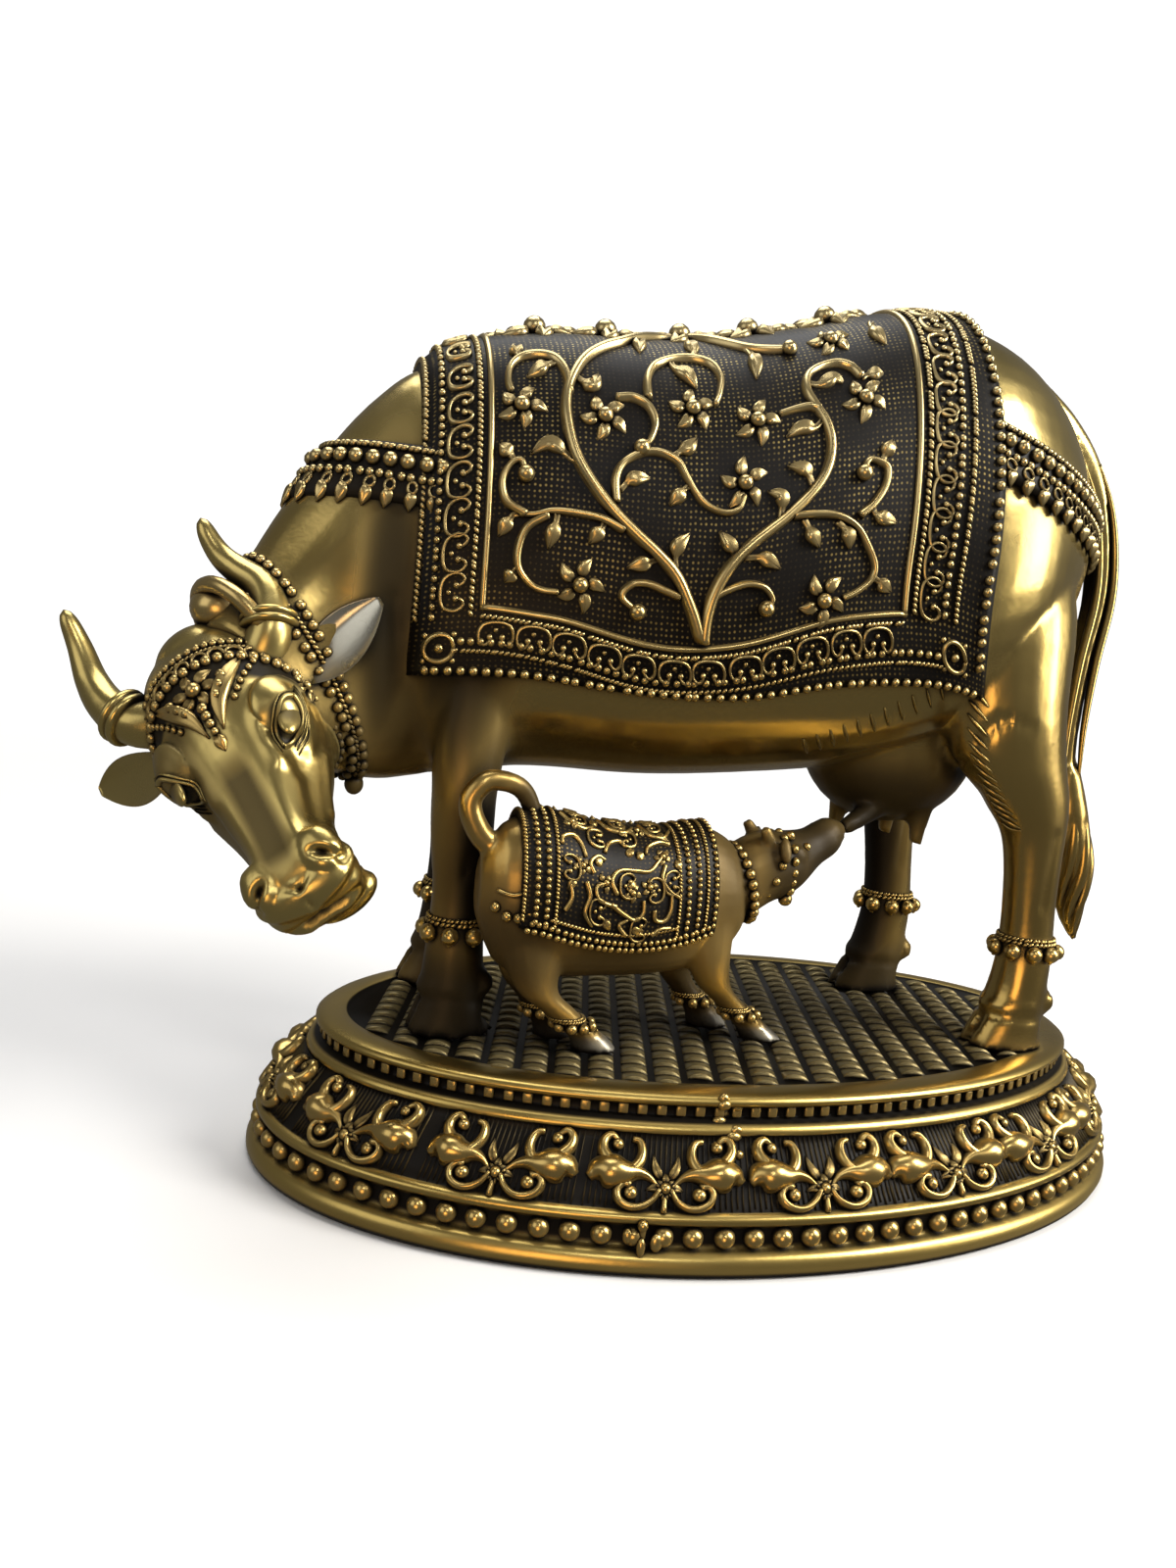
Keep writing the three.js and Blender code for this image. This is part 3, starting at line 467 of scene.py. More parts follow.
def finished(name, mesh, material, node, raised=True, black_at=None, silver_at=None):
    """Turns millimetres into metres and hands the finished piece to the frame. black_at(place) says how
    much black lies at a place in millimetres, the black patina together with painted shade,
    silver_at(point) how silvery a point is."""
    if black_at:
        painted(mesh, "patina_and_painted_shade", [black_at(v.co) for v in mesh.vertices])
    if silver_at:
        painted(mesh, "silvered", [silver_at(v) for v in mesh.vertices])
    whole = bmesh.new()
    whole.from_mesh(mesh)
    bmesh.ops.recalc_face_normals(whole, faces=whole.faces)
    bmesh.ops.translate(whole, verts=whole.verts, vec=(0, 0, PLINTH_TOP if raised else 0))
    bmesh.ops.scale(whole, verts=whole.verts, vec=(MM, MM, MM))
    whole.to_mesh(mesh)
    whole.free()
    mesh.shade_smooth()
    made = link(name, mesh)
    mesh.materials.append(finish[material])
    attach(made, "root")
    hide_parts(node)
    print(name, len(mesh.polygons), "faces")


def clay(pile, grain, rounds):
    """Skins that overlap become one smooth mesh, as wet clay does: a voxel remesh, then smoothing."""
    lump = link("clay", pile.mesh("clay"))
    remesh = lump.modifiers.new("fuse", "REMESH")
    remesh.mode = "VOXEL"
    remesh.voxel_size = grain
    ease = lump.modifiers.new("ease", "SMOOTH")
    ease.factor = 0.5
    ease.iterations = rounds
    fused = bpy.data.meshes.new_from_object(lump.evaluated_get(bpy.context.evaluated_depsgraph_get()))
    bpy.data.objects.remove(lump)
    return fused

# %% [markdown]
# ## The sculptor's thumb
# Fine modelling is pressed into the soft clay. A press follows a path: points near it move along
# their normals, inwards for a groove and outwards for a fold, fading with a soft edge.

# %% Thumb
def press(mesh, strokes):
    """Each stroke is (points, width, depth): a positive depth raises, a negative one cuts in."""
    def of_points(what):
        values = np.empty(len(mesh.vertices) * 3)
        mesh.vertices.foreach_get(what, values)
        return values.reshape(-1, 3)
    spots, normals = of_points("co"), of_points("normal")
    shift = np.zeros(len(spots))
    for points, width, depth in strokes:
        rough = sum((b - a).length for a, b in zip(points, points[1:]))
        path = np.array([p[:] for p in smooth_path(points, max(2, int(rough / (0.35 * width)) + 2))])
        low, high = path.min(0) - 2.5 * width, path.max(0) + 2.5 * width
        near = np.where(((spots > low) & (spots < high)).all(1))[0]
        if not len(near):
            continue
        away = np.linalg.norm(spots[near, None, :] - path[None, :, :], axis=2).min(1)
        shift[near] += depth * np.exp(-(away / width) ** 2)
    spots += normals * shift[:, None]
    mesh.vertices.foreach_set("co", spots.ravel())
    mesh.update()

# %% [markdown]
# ## The cow's forms
# The barrel lies along X. A section of it is a pear: its angle is 0 at the spine and grows down the
# far flank, so a negative angle is on the near side, where the calf stands.

# %% Barrel, cloth and neck
barrel = [
    # x, top, bottom, half-width, middle y
    (-60, 92, 42, 9, 3.5), (-56, 98, 38.5, 14, 3.5), (-50, 101, 37.5, 16.5, 3.5),
    (-38, 103.5, 39.5, 19.5, 3), (-18, 105.5, 39.5, 22.5, 2.5), (0, 110, 41, 23.5, 1.5),
    (14, 114.4, 43, 23, 0.5), (27, 115.5, 47, 23.4, -0.6), (37, 112.8, 53, 21.2, -1),
    (46, 107, 61, 16.4, -1), (52.5, 99.5, 68, 11, -1), (57.5, 91, 76, 4, -1),
]
hem_line = [(0, 53.4), (0.18, 54.6), (0.38, 53.8), (0.54, 54.4), (0.7, 57.4), (0.88, 58.8), (1, 57.5)]
cloth_front, cloth_rear, cloth_flare = -57.5, 26.0, 5.0
cloth_lift = 1.3


def barrel_point(x, angle, lift):
    top, bottom, wide, middle = through(barrel, x)
    pear = 1 - 0.1 * cos(angle)
    return Vector((x, middle + (wide * pear + lift) * fuller(sin(angle), 0.86),
                   (top + bottom) / 2 + ((top - bottom) / 2 + lift) * cos(angle)))


def barrel_angle(x, z):
    top, bottom = through(barrel, x)[:2]
    return acos(clamp((z - (top + bottom) / 2) / ((top - bottom) / 2), -1, 1))


def cloth_point(across, down, lift):
    """across: 0 at the front edge, 1 at the rear. down: 0 at the spine, -1 at the near hem."""
    flare = cloth_flare * max(0, abs(down) * 4 - 3) ** 2
    x = lerp(cloth_front, cloth_rear + flare, across)
    hem = through(hem_line, clamp(across))[0]
    return barrel_point(x, down * barrel_angle(x, hem), lift)


neck_rows = [
    # nape x, y, z, throat x, y, z, half-width
    (-42, 3.5, 101, -44, 3.5, 41, 14), (-56, 3, 97.5, -51, 3, 37.5, 14.2),
    (-63.5, 2.5, 91.5, -55.5, 2, 36.6, 12.8), (-70, 1.5, 83, -58.5, 0.5, 36.3, 11.4),
    (-75.5, 0, 74.5, -61, -1, 36.5, 10), (-80.5, -2.5, 65, -63.5, -3, 37, 9),
    (-85, -5.5, 57, -69, -6.5, 38.5, 8.2),
]


def neck_ends(t):
    row = along(neck_rows, clamp(t))
    return Vector(row[:3]), Vector(row[3:6])


def neck_point(t, angle, lift):
    nape, throat = neck_ends(t)
    after, before = neck_ends(t + 0.05), neck_ends(t - 0.05)
    ahead = after[0] + after[1] - before[0] - before[1]
    upward = nape - throat
    sideways = upward.cross(ahead).normalized()
    high = upward.length / 2 + lift
    wide = along(neck_rows, clamp(t))[6] + lift
    return (nape + throat) / 2 + upward.normalized() * (high * cos(angle)) + sideways * (wide * sin(angle))


def neck_angle(t, z):
    nape, throat = neck_ends(t)
    return acos(clamp((2 * z - nape.z - throat.z) / (nape.z - throat.z), -1, 1))


def nape_at(z):
    above, below = 0.0, 1.0
    for _ in range(20):
        t = (above + below) / 2
        if neck_ends(t)[0].z > z:
            above = t
        else:
            below = t
    return below

# %% Legs and body
leg_rows = {
    # x, y, z, half-length, half-width, from the body to the sole
    "near hind": [(38, -8, 86, 11, 8), (38, -11.5, 71, 12.5, 9), (38.4, -14, 57.5, 11, 8),
                  (40, -15.4, 48, 10.2, 6.4), (43.4, -16, 41.5, 8.3, 5.2), (45.8, -16.3, 36.5, 5.9, 4.5),
                  (46.6, -16.5, 31, 4.9, 4), (47.2, -16.5, 23, 4.5, 3.8), (47.6, -16.5, 16, 4.6, 4),
                  (47.2, -16.5, 10, 4.9, 4.4), (46.4, -16.5, 5.5, 5.6, 4.7), (45.4, -16.5, 0, 7.2, 5.3)],
    "far hind": [(38, 6, 86, 11, 8), (37, 9.5, 71, 12, 9), (35.4, 12, 57.5, 10, 8), (35, 13.3, 48, 9, 6.2),
                 (36, 13.8, 41.5, 7, 5), (37.4, 14, 36.5, 5.4, 4.4), (38, 14, 31, 4.8, 4),
                 (39, 14, 23, 4.5, 3.8), (39.6, 14, 16, 4.6, 4), (39, 14, 10, 4.9, 4.4),
                 (38, 14, 5.5, 5.5, 4.6), (36.8, 14, 0, 7.1, 5.2)],
    "near front": [(-44, -4, 76, 7, 5), (-45, -5.6, 60, 7.4, 6), (-47, -7.6, 48, 6.4, 5.2),
                   (-47.4, -8.4, 38, 5, 4.6), (-47.1, -8, 29, 4.7, 4.2), (-46.8, -7.6, 22, 4.1, 3.7),
                   (-46.8, -7.6, 15, 4.3, 3.9), (-46.8, -7.7, 9, 4.7, 4.3), (-46.9, -7.8, 4.5, 5.3, 4.6),
                   (-47, -8, 0, 6.8, 5.1)],
    "far front": [(-42, 12, 76, 9, 6), (-42.5, 15, 60, 9, 7), (-43, 16.4, 48, 7, 5.6),
                  (-43.2, 17, 38, 5, 4.6), (-43.2, 17.2, 29, 4.5, 4.2), (-43.2, 17.2, 22, 4.1, 3.8),
                  (-43.4, 17.2, 15, 4.3, 4), (-43.8, 17.2, 9, 4.7, 4.4), (-44.5, 17.2, 4.5, 5.4, 4.6),
                  (-45.2, 17.2, 0, 6.8, 5.2)],
}
muzzle_tip = Vector((14.6, -9, 33.6))
reach = Vector((0.9, 0.26, 0.36)).normalized()


def limb(pile, rows, sides=20, rings=34):
    """A limb whose sections lie level: an oval with its own length and width at each row."""
    def ring(t, angle):
        x, y, z, long, wide = along(rows, t)
        return x + long * sin(angle), y + wide * cos(angle), z
    skin(pile, sides, rings, ring, lambda t: along(rows, t)[:3])


def tube_of(pile, rows, point, sides, rings):
    """The barrel of an animal: rows of [x, top, bottom, half-width, middle y]."""
    def place(t):
        return lerp(rows[-1][0], rows[0][0], t)

    def middle(t):
        top, bottom, _, y = through(rows, place(t))
        return place(t), y, (top + bottom) / 2
    skin(pile, sides, rings, lambda t, angle: point(place(t), angle, 0), middle)


body = Pile()
tube_of(body, barrel, barrel_point, 48, 40)
skin(body, 32, 24, lambda t, angle: neck_point(t, angle, 0), lambda t: sum(neck_ends(t), Vector()) / 2)
for rows in leg_rows.values():
    limb(body, rows)
    for side in (-1, 1):
        egg(body, (rows[-3][0] + 4.3, rows[-3][1] + side * 2.0, 7.6), (1.9, 1.3, 2.1), 12, 8)
egg(body, (27, 0, 48), (15.5, 12, 14), 24, 16)
for x, y in [(22, 5), (32, -5), (32, 5)]:
    cord(body, [(x, y, 38), (x - 0.3, y, 34), (x - 0.5, y, 31)], (2, 1.2), 12, 6)
teat = muzzle_tip + reach * 0.3
cord(body, [(25, -4, 38), teat + reach * 2.5, teat], (2.4, 1.3), 12, 8)
tail_path = [(44, -1, 108.4), (50.5, -2, 103.6), (55.6, -3, 97.6), (59.2, -3, 91), (61.4, -3, 83.5),
             (61.7, -3.6, 75), (59.8, -4.4, 64), (58.7, -5.2, 53), (58.6, -6, 44)]
tuft_path = [(58.6, -6, 46), (60.6, -6.4, 37), (62.8, -6.5, 29), (63.6, -6.5, 21), (65.8, -6.5, 15)]
cord(body, [Vector(p) for p in tail_path], (2.9, 1.9), 20, 60)
cord(body, [Vector(p) for p in tuft_path], lambda t: 0.4 + 3.2 * sin(pi * min(1, 0.2 + 0.8 * t)) ** 0.8,
     20, 30)
print("body laid up from", body.count, "points")

# %% [markdown]
# The hide is not smooth everywhere: folds of skin run from the flank to the udder, the shoulder and
# the haunch stand out, and each hoof is cleft in two with a hard upper edge.

# %% Hide
def fold(points, width, depth):
    return [Vector(p) for p in points], width, depth


flank_folds = [fold([(5 + 2.4 * i, -21 + 0.4 * i, 44 + 0.5 * i), (9 + 2.6 * i, -17, 39.5 + 0.9 * i),
                     (14 + 2.2 * i, -12, 37.6 + i)], 0.6, -0.6) for i in range(9)]
haunch = [fold([(24, -20, 62), (27, -20, 52), (31, -17.5, 44), (35, -14, 40)], 2.2, -0.9),
          fold([(24, 21, 62), (27, 20, 52), (30, 17, 44)], 2.2, -0.9),
          fold([(49, -14, 66), (49.5, -16, 55), (50, -15, 46), (51, -16, 41)], 1.6, -0.5)]
ribbed = [fold([(27 + 1.9 * i, -21.5, 57 - 0.6 * i), (30 + 1.7 * i, -19.5, 51.5 - 0.5 * i),
                (34 + 1.3 * i, -18, 47 - 0.3 * i)], 0.6, -0.6) for i in range(7)]
brisket = [fold([(-60, -6, 45), (-59.5, -9, 54), (-60, -11, 63)], 1.6, -0.6),
           fold([(-54, -8, 42), (-53, -12, 52), (-53, -15, 62)], 2.0, -0.7)]
hooves = []
for rows in leg_rows.values():
    x, y, _, long, _ = rows[-1]
    bx, by = rows[-2][:2]
    hooves += [fold([(x - long, y, 0), (x - long * 0.95, y, 2.2), (bx - 5.2, by, 4.4)], 0.75, -2.0),
               fold([(x + long, y - 2, 2.6), (x + long * 1.02, y, 2.8), (x + long, y + 2, 2.6)], 1.6, -1.5),
               fold([(x + long, y - 1, 0), (x + long, y + 1, 0)], 1.0, 0.5)]
    for side in (-1, 1):
        hooves += [fold([(bx - 5.6, by, 5.0), (bx - 3.6, by + side * 4, 5.6), (bx + 1, by + side * 5, 5.6),
                         (bx + 4.8, by + side * 3.4, 5.0)], 0.55, -0.5),
                   fold([(bx - 5.2, by, 7.0), (bx - 3.2, by + side * 4, 7.4), (bx + 1, by + side * 5, 7.4)],
                        0.8, 0.3)]
    kx, ky, _, _, kwide = along(rows, 0.62)
    hooves.append(fold([(kx, ky - kwide, 24), (kx + 0.4, ky - kwide, 36)], 0.7, -0.35))
strands = []
lock_count = 7
for k in range(lock_count):
    turn = 2 * pi * k / lock_count
    strands.append(fold([(x + 2.3 * sin(turn), y + 2.3 * cos(turn), z) for x, y, z in tail_path[3:]],
                        0.45, -0.4))
    swirl = [(x + 3.0 * sin(turn + 0.35 * i), y + 3.0 * cos(turn + 0.35 * i), z)
             for i, (x, y, z) in enumerate(tuft_path[1:])]
    strands.append(fold(swirl, 0.5, -0.7))
hide = clay(body, 0.72, 4)
press(hide, flank_folds + haunch + ribbed + brisket + hooves + strands)
# Painted shade with black patina: dark patches where the body, neck and head shelter the legs, the udder
# and the chest, and on the far legs and the hooves.
hide_shade_and_patina = [
    # centre, radii, strength
    ((-51, -14, 56), (8, 12, 19), 0.8), ((-47, -8, 3), (11, 11, 13), 0.85),
    ((-45, -9, 28), (6, 9, 22), 0.74), ((-43, 17, 18), (10, 10, 34), 0.88),
    ((33.5, 14, 22), (6.5, 10, 32), 0.95), ((36, 14, 3), (11, 10, 9), 0.8),
    ((24, -4, 40), (15, 11, 9), 0.8), ((20, -8, 34), (9, 5, 5), 0.85), ((58, -2, 60), (3, 3, 18), 0.5),
    ((-60.5, -10, 62), (4.5, 9, 26), 0.8), ((58, 3, 40), (6, 6, 12), 0.3), ((-57, -9, 46), (7, 8, 10), 0.6),
]


def tree_of(mesh):
    """The skin of a mesh, for laying work on it."""
    return BVHTree.FromPolygons([v.co[:] for v in mesh.vertices], [p.vertices[:] for p in mesh.polygons])


hide_skin = tree_of(hide)
finished("cow_body", hide, "hide", "cow", black_at=lambda spot: shade_and_patina_from(spot, hide_shade_and_patina))
tuft = Pile()
for k in range(lock_count):
    start = 2 * pi * k / lock_count
    lock = []
    for i in range(9):
        t = i / 8
        middle = Vector(along(tuft_path, 0.04 + 0.9 * t))
        twist = start + 2.6 * t
        out = 2.7 * sin(pi * min(1, 0.12 + 0.86 * t)) ** 0.8
        lock.append(middle + Vector((out * sin(twist), out * cos(twist), 0.8 * sin(5 * t + k))))
    cord(tuft, lock, lambda t: 0.25 + 0.95 * sin(pi * clamp(t, 0.04, 0.96)) ** 0.7, 10, 30)
for k in range(2):
    grain = [Vector(p) + Vector((1.6 * (-1) ** k, -2.2, 0)) for p in tail_path[2:]]
    cord(tuft, grain, lambda t: 0.75 * sin(pi * clamp(t, 0.03, 0.97)) ** 0.4, 8, 40)
finished("tail_locks", tuft.mesh("tuft"), "hide", "cow")

# %% [markdown]
# Short raised wrinkles follow the front edge of the thigh, and finer ones the belly in front of the
# udder. Each is a thin cord whose points are moved to the nearest place of the hide.

# %% Wrinkles
wrinkles = Pile()


def wrinkle(points, thick):
    """Leaves out a line that would bridge a crease instead of lying on the hide."""
    path, furthest, bridge = [], 0.0, 1.8
    for point in points:
        ground, outward, _, away = hide_skin.find_nearest(Vector(point))
        path.append(ground + outward * 0.1)
        furthest = max(furthest, away)
    if furthest < bridge:
        cord(wrinkles, path, lambda t: thick * sin(pi * clamp(t, 0.06, 0.94)) ** 0.6, 6, 12)


def thigh_place(t, ahead):
    """Along the front of the near thigh, t from the flank to the stifle; ahead turns to its front edge."""
    x, y, z, long, wide = along(leg_rows["near hind"][2:6], t)
    turn = radians(lerp(40, 24, t)) - ahead / long
    return Vector((x - long * cos(turn), y - wide * sin(turn), z))


thigh_count, belly_count = 14, 11
for k in range(thigh_count):
    t = k / (thigh_count - 1)
    wrinkle([thigh_place(t - 0.05, 1.9), thigh_place(t, 0.2), thigh_place(t + 0.06, -1.9)], 0.3)
for k in range(belly_count):
    x, start = 3 + 1.9 * k, lerp(-2.5, -2.22, k / (belly_count - 1))
    wrinkle([barrel_point(x + 1.2 * i, start - 0.07 * i, 0) for i in range(3)], 0.24)
finished("wrinkles", wrinkles.mesh("wrinkles"), "hide", "cow")

# %% [markdown]
# ## The head
# The head has axes of its own: left towards the cow's left, downward from the poll to the muzzle, and
# front out of the forehead. It is turned to the near side, so nothing on it lies along X, Y or Z.
# Everything on the face is written in these axes, which makes the left and the right side alike.

# %% Head axes
poll = Vector((-87.9, -8, 53.7))
head_left = Vector((0.758, -0.171, 0.629)).normalized()
head_front = Vector((-0.528, -0.728, 0.438)).normalized()
head_front = (head_front - head_left * head_front.dot(head_left)).normalized()
head_down = head_left.cross(head_front)


def on_head(left, down, front):
    return poll + head_left * left + head_down * down + head_front * front


def in_head(spot):
    """Left, down and front of a place: what on_head turns into that place."""
    away = Vector(spot) - poll
    return away.dot(head_left), away.dot(head_down), away.dot(head_front)


skull = [
    # down from the poll, half-width, forehead, jaw
    (-4, 5.5, -3, -11), (-1, 9, -0.5, -15), (4, 10.6, 1.4, -18), (10, 11, 2, -20), (16, 10.4, 1.7, -20.5),
    (21, 9, 1, -19.5), (27, 7, 0.3, -15.5), (32, 6, 0, -12.5), (36, 6.4, 0.1, -11), (39, 6.9, -0.6, -11),
    (41.6, 6, -2.6, -10.3), (42.8, 3.6, -5, -8.5),
]


def face_ring(down, angle):
    wide, forehead, jaw = through(skull, down)
    narrow = 1 - 0.22 * max(0, -cos(angle))
    front = lerp(jaw, forehead, 0.5 + 0.5 * fuller(cos(angle), 0.8))
    return on_head(wide * narrow * sin(angle), down, front)


def face_middle(down):
    _, forehead, jaw = through(skull, down)
    return on_head(0, down, (forehead + jaw) / 2)


def both(points, width, depth):
    """The same stroke on the left and on the right of the head."""
    return [([on_head(side * left, down, front) for left, down, front in points], width, depth)
            for side in (1, -1)]

# %% [markdown]
# The face is laid up from a skull and a few pads of clay: brow, cheek, nostril and chin. After
# the skins are fused, the thumb draws the eye socket, the ridge of the nose, the nostrils and the lips.

# %% Face
face = Pile()
head_top, head_end = skull[0][0], skull[-1][0]
skin(face, 40, 44, lambda t, angle: face_ring(lerp(head_top, head_end, t), angle),
     lambda t: face_middle(lerp(head_top, head_end, t)))
to_head = Matrix((head_left, head_down, head_front)).transposed()
for side in (1, -1):
    egg(face, on_head(side * 7.6, 15.6, -2.6), (3.5, 5.0, 3.9), 24, 16, to_head)
    egg(face, on_head(side * 4.2, 37.2, -1.9), (2.9, 3.4, 2.3), 20, 14, to_head)
    egg(face, on_head(side * 6.6, 14, -13), (4.0, 6.0, 6.0), 20, 14, to_head)
egg(face, on_head(0, -0.6, -5.2), (6.4, 5.2, 5.0), 22, 14, to_head)
egg(face, on_head(2.0, 40.2, -9.7), (5.0, 2.7, 2.7), 22, 14, to_head)
egg(face, on_head(0, 40.0, -3.4), (6.3, 2.7, 2.8), 22, 14, to_head)
orbit = [(5.6, 23.4, -0.4), (5.2, 20.2, 0.5), (5.7, 16.2, 0.8), (7.4, 13.2, 0.0), (9.6, 12.8, -2.6),
         (11.0, 15.2, -5.4), (10.6, 19.0, -5.8), (9.0, 22.2, -4.6)]
face_lines = [
    # points, width, depth: first the eye, the ridge of the nose and the cheek
    (orbit, 1.15, 0.75), ([(7.3, 19.8, 0.0), (8.9, 18.2, -1.4), (9.7, 17.4, -3.0)], 1.9, -0.55),
    ([(7.4, 21.4, -2.0), (6.3, 24.6, -3.2)], 1.2, -0.45),
    ([(5.4, 22.0, 0.6), (4.2, 26, 0.1), (3.3, 30, -0.2), (3.0, 34.6, -0.3)], 1.2, 0.4),
    ([(7.4, 23.5, -4.4), (6.4, 28, -4.0), (5.6, 32, -3.6)], 1.7, -0.7),
    ([(9.0, 22.0, -8.4), (7.6, 26.0, -8.2), (6.6, 30.0, -7.8)], 1.2, 0.55),
    ([(0.0, 23, 0.6), (0.0, 34, -0.1)], 1.9, -0.2),
    # nostril, its rim and the line from it to the lip
    ([(3.6, 37.7, 0.9), (4.7, 38.3, 0.2), (5.6, 38.9, -1.0), (5.8, 39.2, -2.0)], 0.62, -1.7),
    ([(2.4, 36.4, 0.9), (3.8, 34.8, 0.9), (5.4, 35.0, 0.0)], 1.3, 0.35),
    ([(0, 40.6, -0.6), (1.6, 39.6, -0.2), (2.6, 38.6, 0.4)], 0.45, -0.6),
    # lips, mouth and jaw
    ([(0, 42.2, -3.6), (2.2, 41.8, -3.2), (4.6, 40.8, -3.2), (6.4, 39.2, -3.9), (7.0, 36.6, -4.6)],
     0.6, 0.55),
    ([(0, 41.6, -2.0), (2.2, 41.0, -1.8), (4.4, 40.2, -2.2)], 0.4, -0.4),
    ([(0, 43.2, -5.8), (2.6, 42.6, -6.0), (5.0, 41.0, -6.5), (6.5, 38.0, -7.0), (6.4, 34.5, -7.2)],
     0.6, -1.5),
    ([(0, 43.4, -6.9), (2.8, 42.6, -7.2), (5.0, 41.0, -7.8), (6.0, 38.4, -8.4)], 0.6, 0.45),
    ([(5.0, 39.4, -4.8), (6.4, 36.4, -5.6), (6.3, 33.6, -6.0)], 0.45, -0.45),
    ([(9.6, 21, -14), (8.2, 24.5, -13.2), (6.4, 28.5, -11.5)], 1.1, -0.7),
]
strokes = [stroke for line in face_lines for stroke in both(*line)]
strokes.append(([on_head(0, 42.4, -1.6), on_head(0, 43.2, -4.8)], 0.4, -0.5))
dice = np.random.default_rng(5)
for _ in range(46):
    left, down = dice.uniform(-2.4, 3.0), dice.uniform(15.5, 23)
    run = dice.uniform(-0.8, 0.8)
    strokes.append(([on_head(left, down, 1.9), on_head(left + run, down + dice.uniform(0.2, 1.2), 1.9)],
                    0.32, dice.uniform(-0.3, 0.05)))
features = clay(face, 0.34, 5)
press(features, strokes)
print("face", len(features.vertices), "points")
head_skin = tree_of(features)


def head_place(angle, down, lift):
    """Around the head: angle 0 is at the forehead and pi/2 at the cow's left cheek."""
    middle = face_middle(down)
    out = head_left * sin(angle) + head_front * cos(angle)
    hit = head_skin.ray_cast(middle + out * 25, -out)[0]
    return (hit if hit else middle + out * 8) + out * lift

# %% [markdown]
# Lids are thin cords around an almond, with the eyeball between them and fine lines above, as the
# wax modeller scratched them. The almond lies on the tangent plane of the socket.

# %% Eyes
def eye_place(side):
    """Surface for the eye: u along the slit in mm, from the tear duct up, and v across it."""
    middle = on_head(side * 8.5, 18.7, -1.0)
    out = (head_left * side * 0.74 + head_front * 0.66 - head_down * 0.05).normalized()
    slit = (-head_down * 0.9 + head_left * side * 0.26 - head_front * 0.3).normalized()
    slit = (slit - out * slit.dot(out)).normalized()
    over = slit.cross(out) * side

    def place(u, v, lift):
        spot = middle + slit * u + over * v
        hit = head_skin.ray_cast(spot + out * 8, -out)[0]
        return (hit if hit else spot) + out * lift
    return place


def almond(grow):
    """Upper and lower lid from the tear duct to the outer corner."""
    top = [(-3.1, 0.0), (-1.6, 1.25), (0.0, 1.8), (1.5, 1.4), (2.5, 0.1)]
    low = [(-3.1, 0.0), (-1.6, -0.9), (0.0, -1.5), (1.5, -1.25), (2.5, 0.1)]
    return [[(u * grow, v * grow) for u, v in line] for line in (top, low)]


def scratch(t):
    """The half-width of a fine line that runs out at both ends."""
    return 0.2 * sin(pi * clamp(t, 0.06, 0.94))


trim = Pile()
for side in (1, -1):
    place = eye_place(side)
    origin, ahead, out, other = frame_of(place, 0, 0)
    turned = Matrix((ahead, other, out)).transposed()
    egg(trim, origin - ahead * 0.3 - out * 0.25, (2.85, 1.5, 0.75), 24, 14, turned)
    for line in almond(1.0):
        laid(trim, place, line, 0.36, 0.62, 8, 22, sink=0.2)
    for grow in (1.35, 1.62, 1.9):
        laid(trim, place, almond(grow)[0][1:], scratch, 0.34, 6, 18, sink=0.2)
    laid(trim, place, almond(1.35)[1], scratch, 0.3, 6, 18)
print("eyes set in")

# %% Horns
horn_paths = {
    1: [(7, 6, -5), (11.2, 3.4, -3.4), (13.1, -0.6, -3), (13.2, -3.8, -2.6), (11.9, -7, -1.9),
        (10.9, -9.8, -0.8), (10.8, -12.4, 0.6), (11.4, -15.3, 2.3)],
    -1: [(-7, 6, -5), (-11.2, 3.4, -3.4), (-13.4, -1.2, -2.8), (-13.8, -6, -2.2), (-12.8, -10.8, -0.6),
         (-11.6, -15.4, 2.3)],
}


def horn(pile, side):
    """The left horn bends deeper than the right one."""
    path = [on_head(*place) for place in horn_paths[side]]
    cord(pile, path, lambda t: lerp(3.5, 1.05, t ** 1.15) * (1 - clamp(t * 8 - 7) ** 3) ** 0.5 + 0.05,
         24, 48)
    cuff = [path[1].lerp(path[2], t) for t in (0.05, 0.3, 0.56)]
    cord(pile, cuff, lambda t: 3.45 + 0.62 * abs(sin(2 * pi * t)) ** 0.5, 28, 17)


for side in (1, -1):
    horn(trim, side)

# %% [markdown]
# An ear is a leaf folded along its upper edge: two skins, the outer one round and the inner one hollow,
# meet at the rim.

# %% Ears
def ear(pile, side):
    root = on_head(side * 9.5, 9, -7.5)
    tip = on_head(26.1, 6.8, -6.8) if side > 0 else on_head(-25, 0.2, -15.6)

    def ring(t, angle):
        half = 0.35 + 3.9 * sin(pi * clamp(0.06 + t * 0.92, 0, 1) ** 1.15) ** 0.85
        middle = root.lerp(tip, t) + head_down * (1.2 * sin(pi * t))
        flat = 1 - cos(angle) ** 2
        cup = -0.12 * half * flat if sin(angle) > 0 else -0.5 * half * flat
        edge = 0.35 * abs(cos(angle)) ** 8 * sin(pi * t)
        fold = 1.1 * sin(pi * t) * clamp(-cos(angle) * 2.6 - 1.6) ** 2
        return middle + head_down * (half * cos(angle)) + head_front * (cup + edge + fold)
    skin(pile, 28, 30, ring, lambda t: root.lerp(tip, t))


for side in (1, -1):
    ear(trim, side)


eyes = [Vector(eye_place(side)(0, 0, 0.2)) for side in (1, -1)]


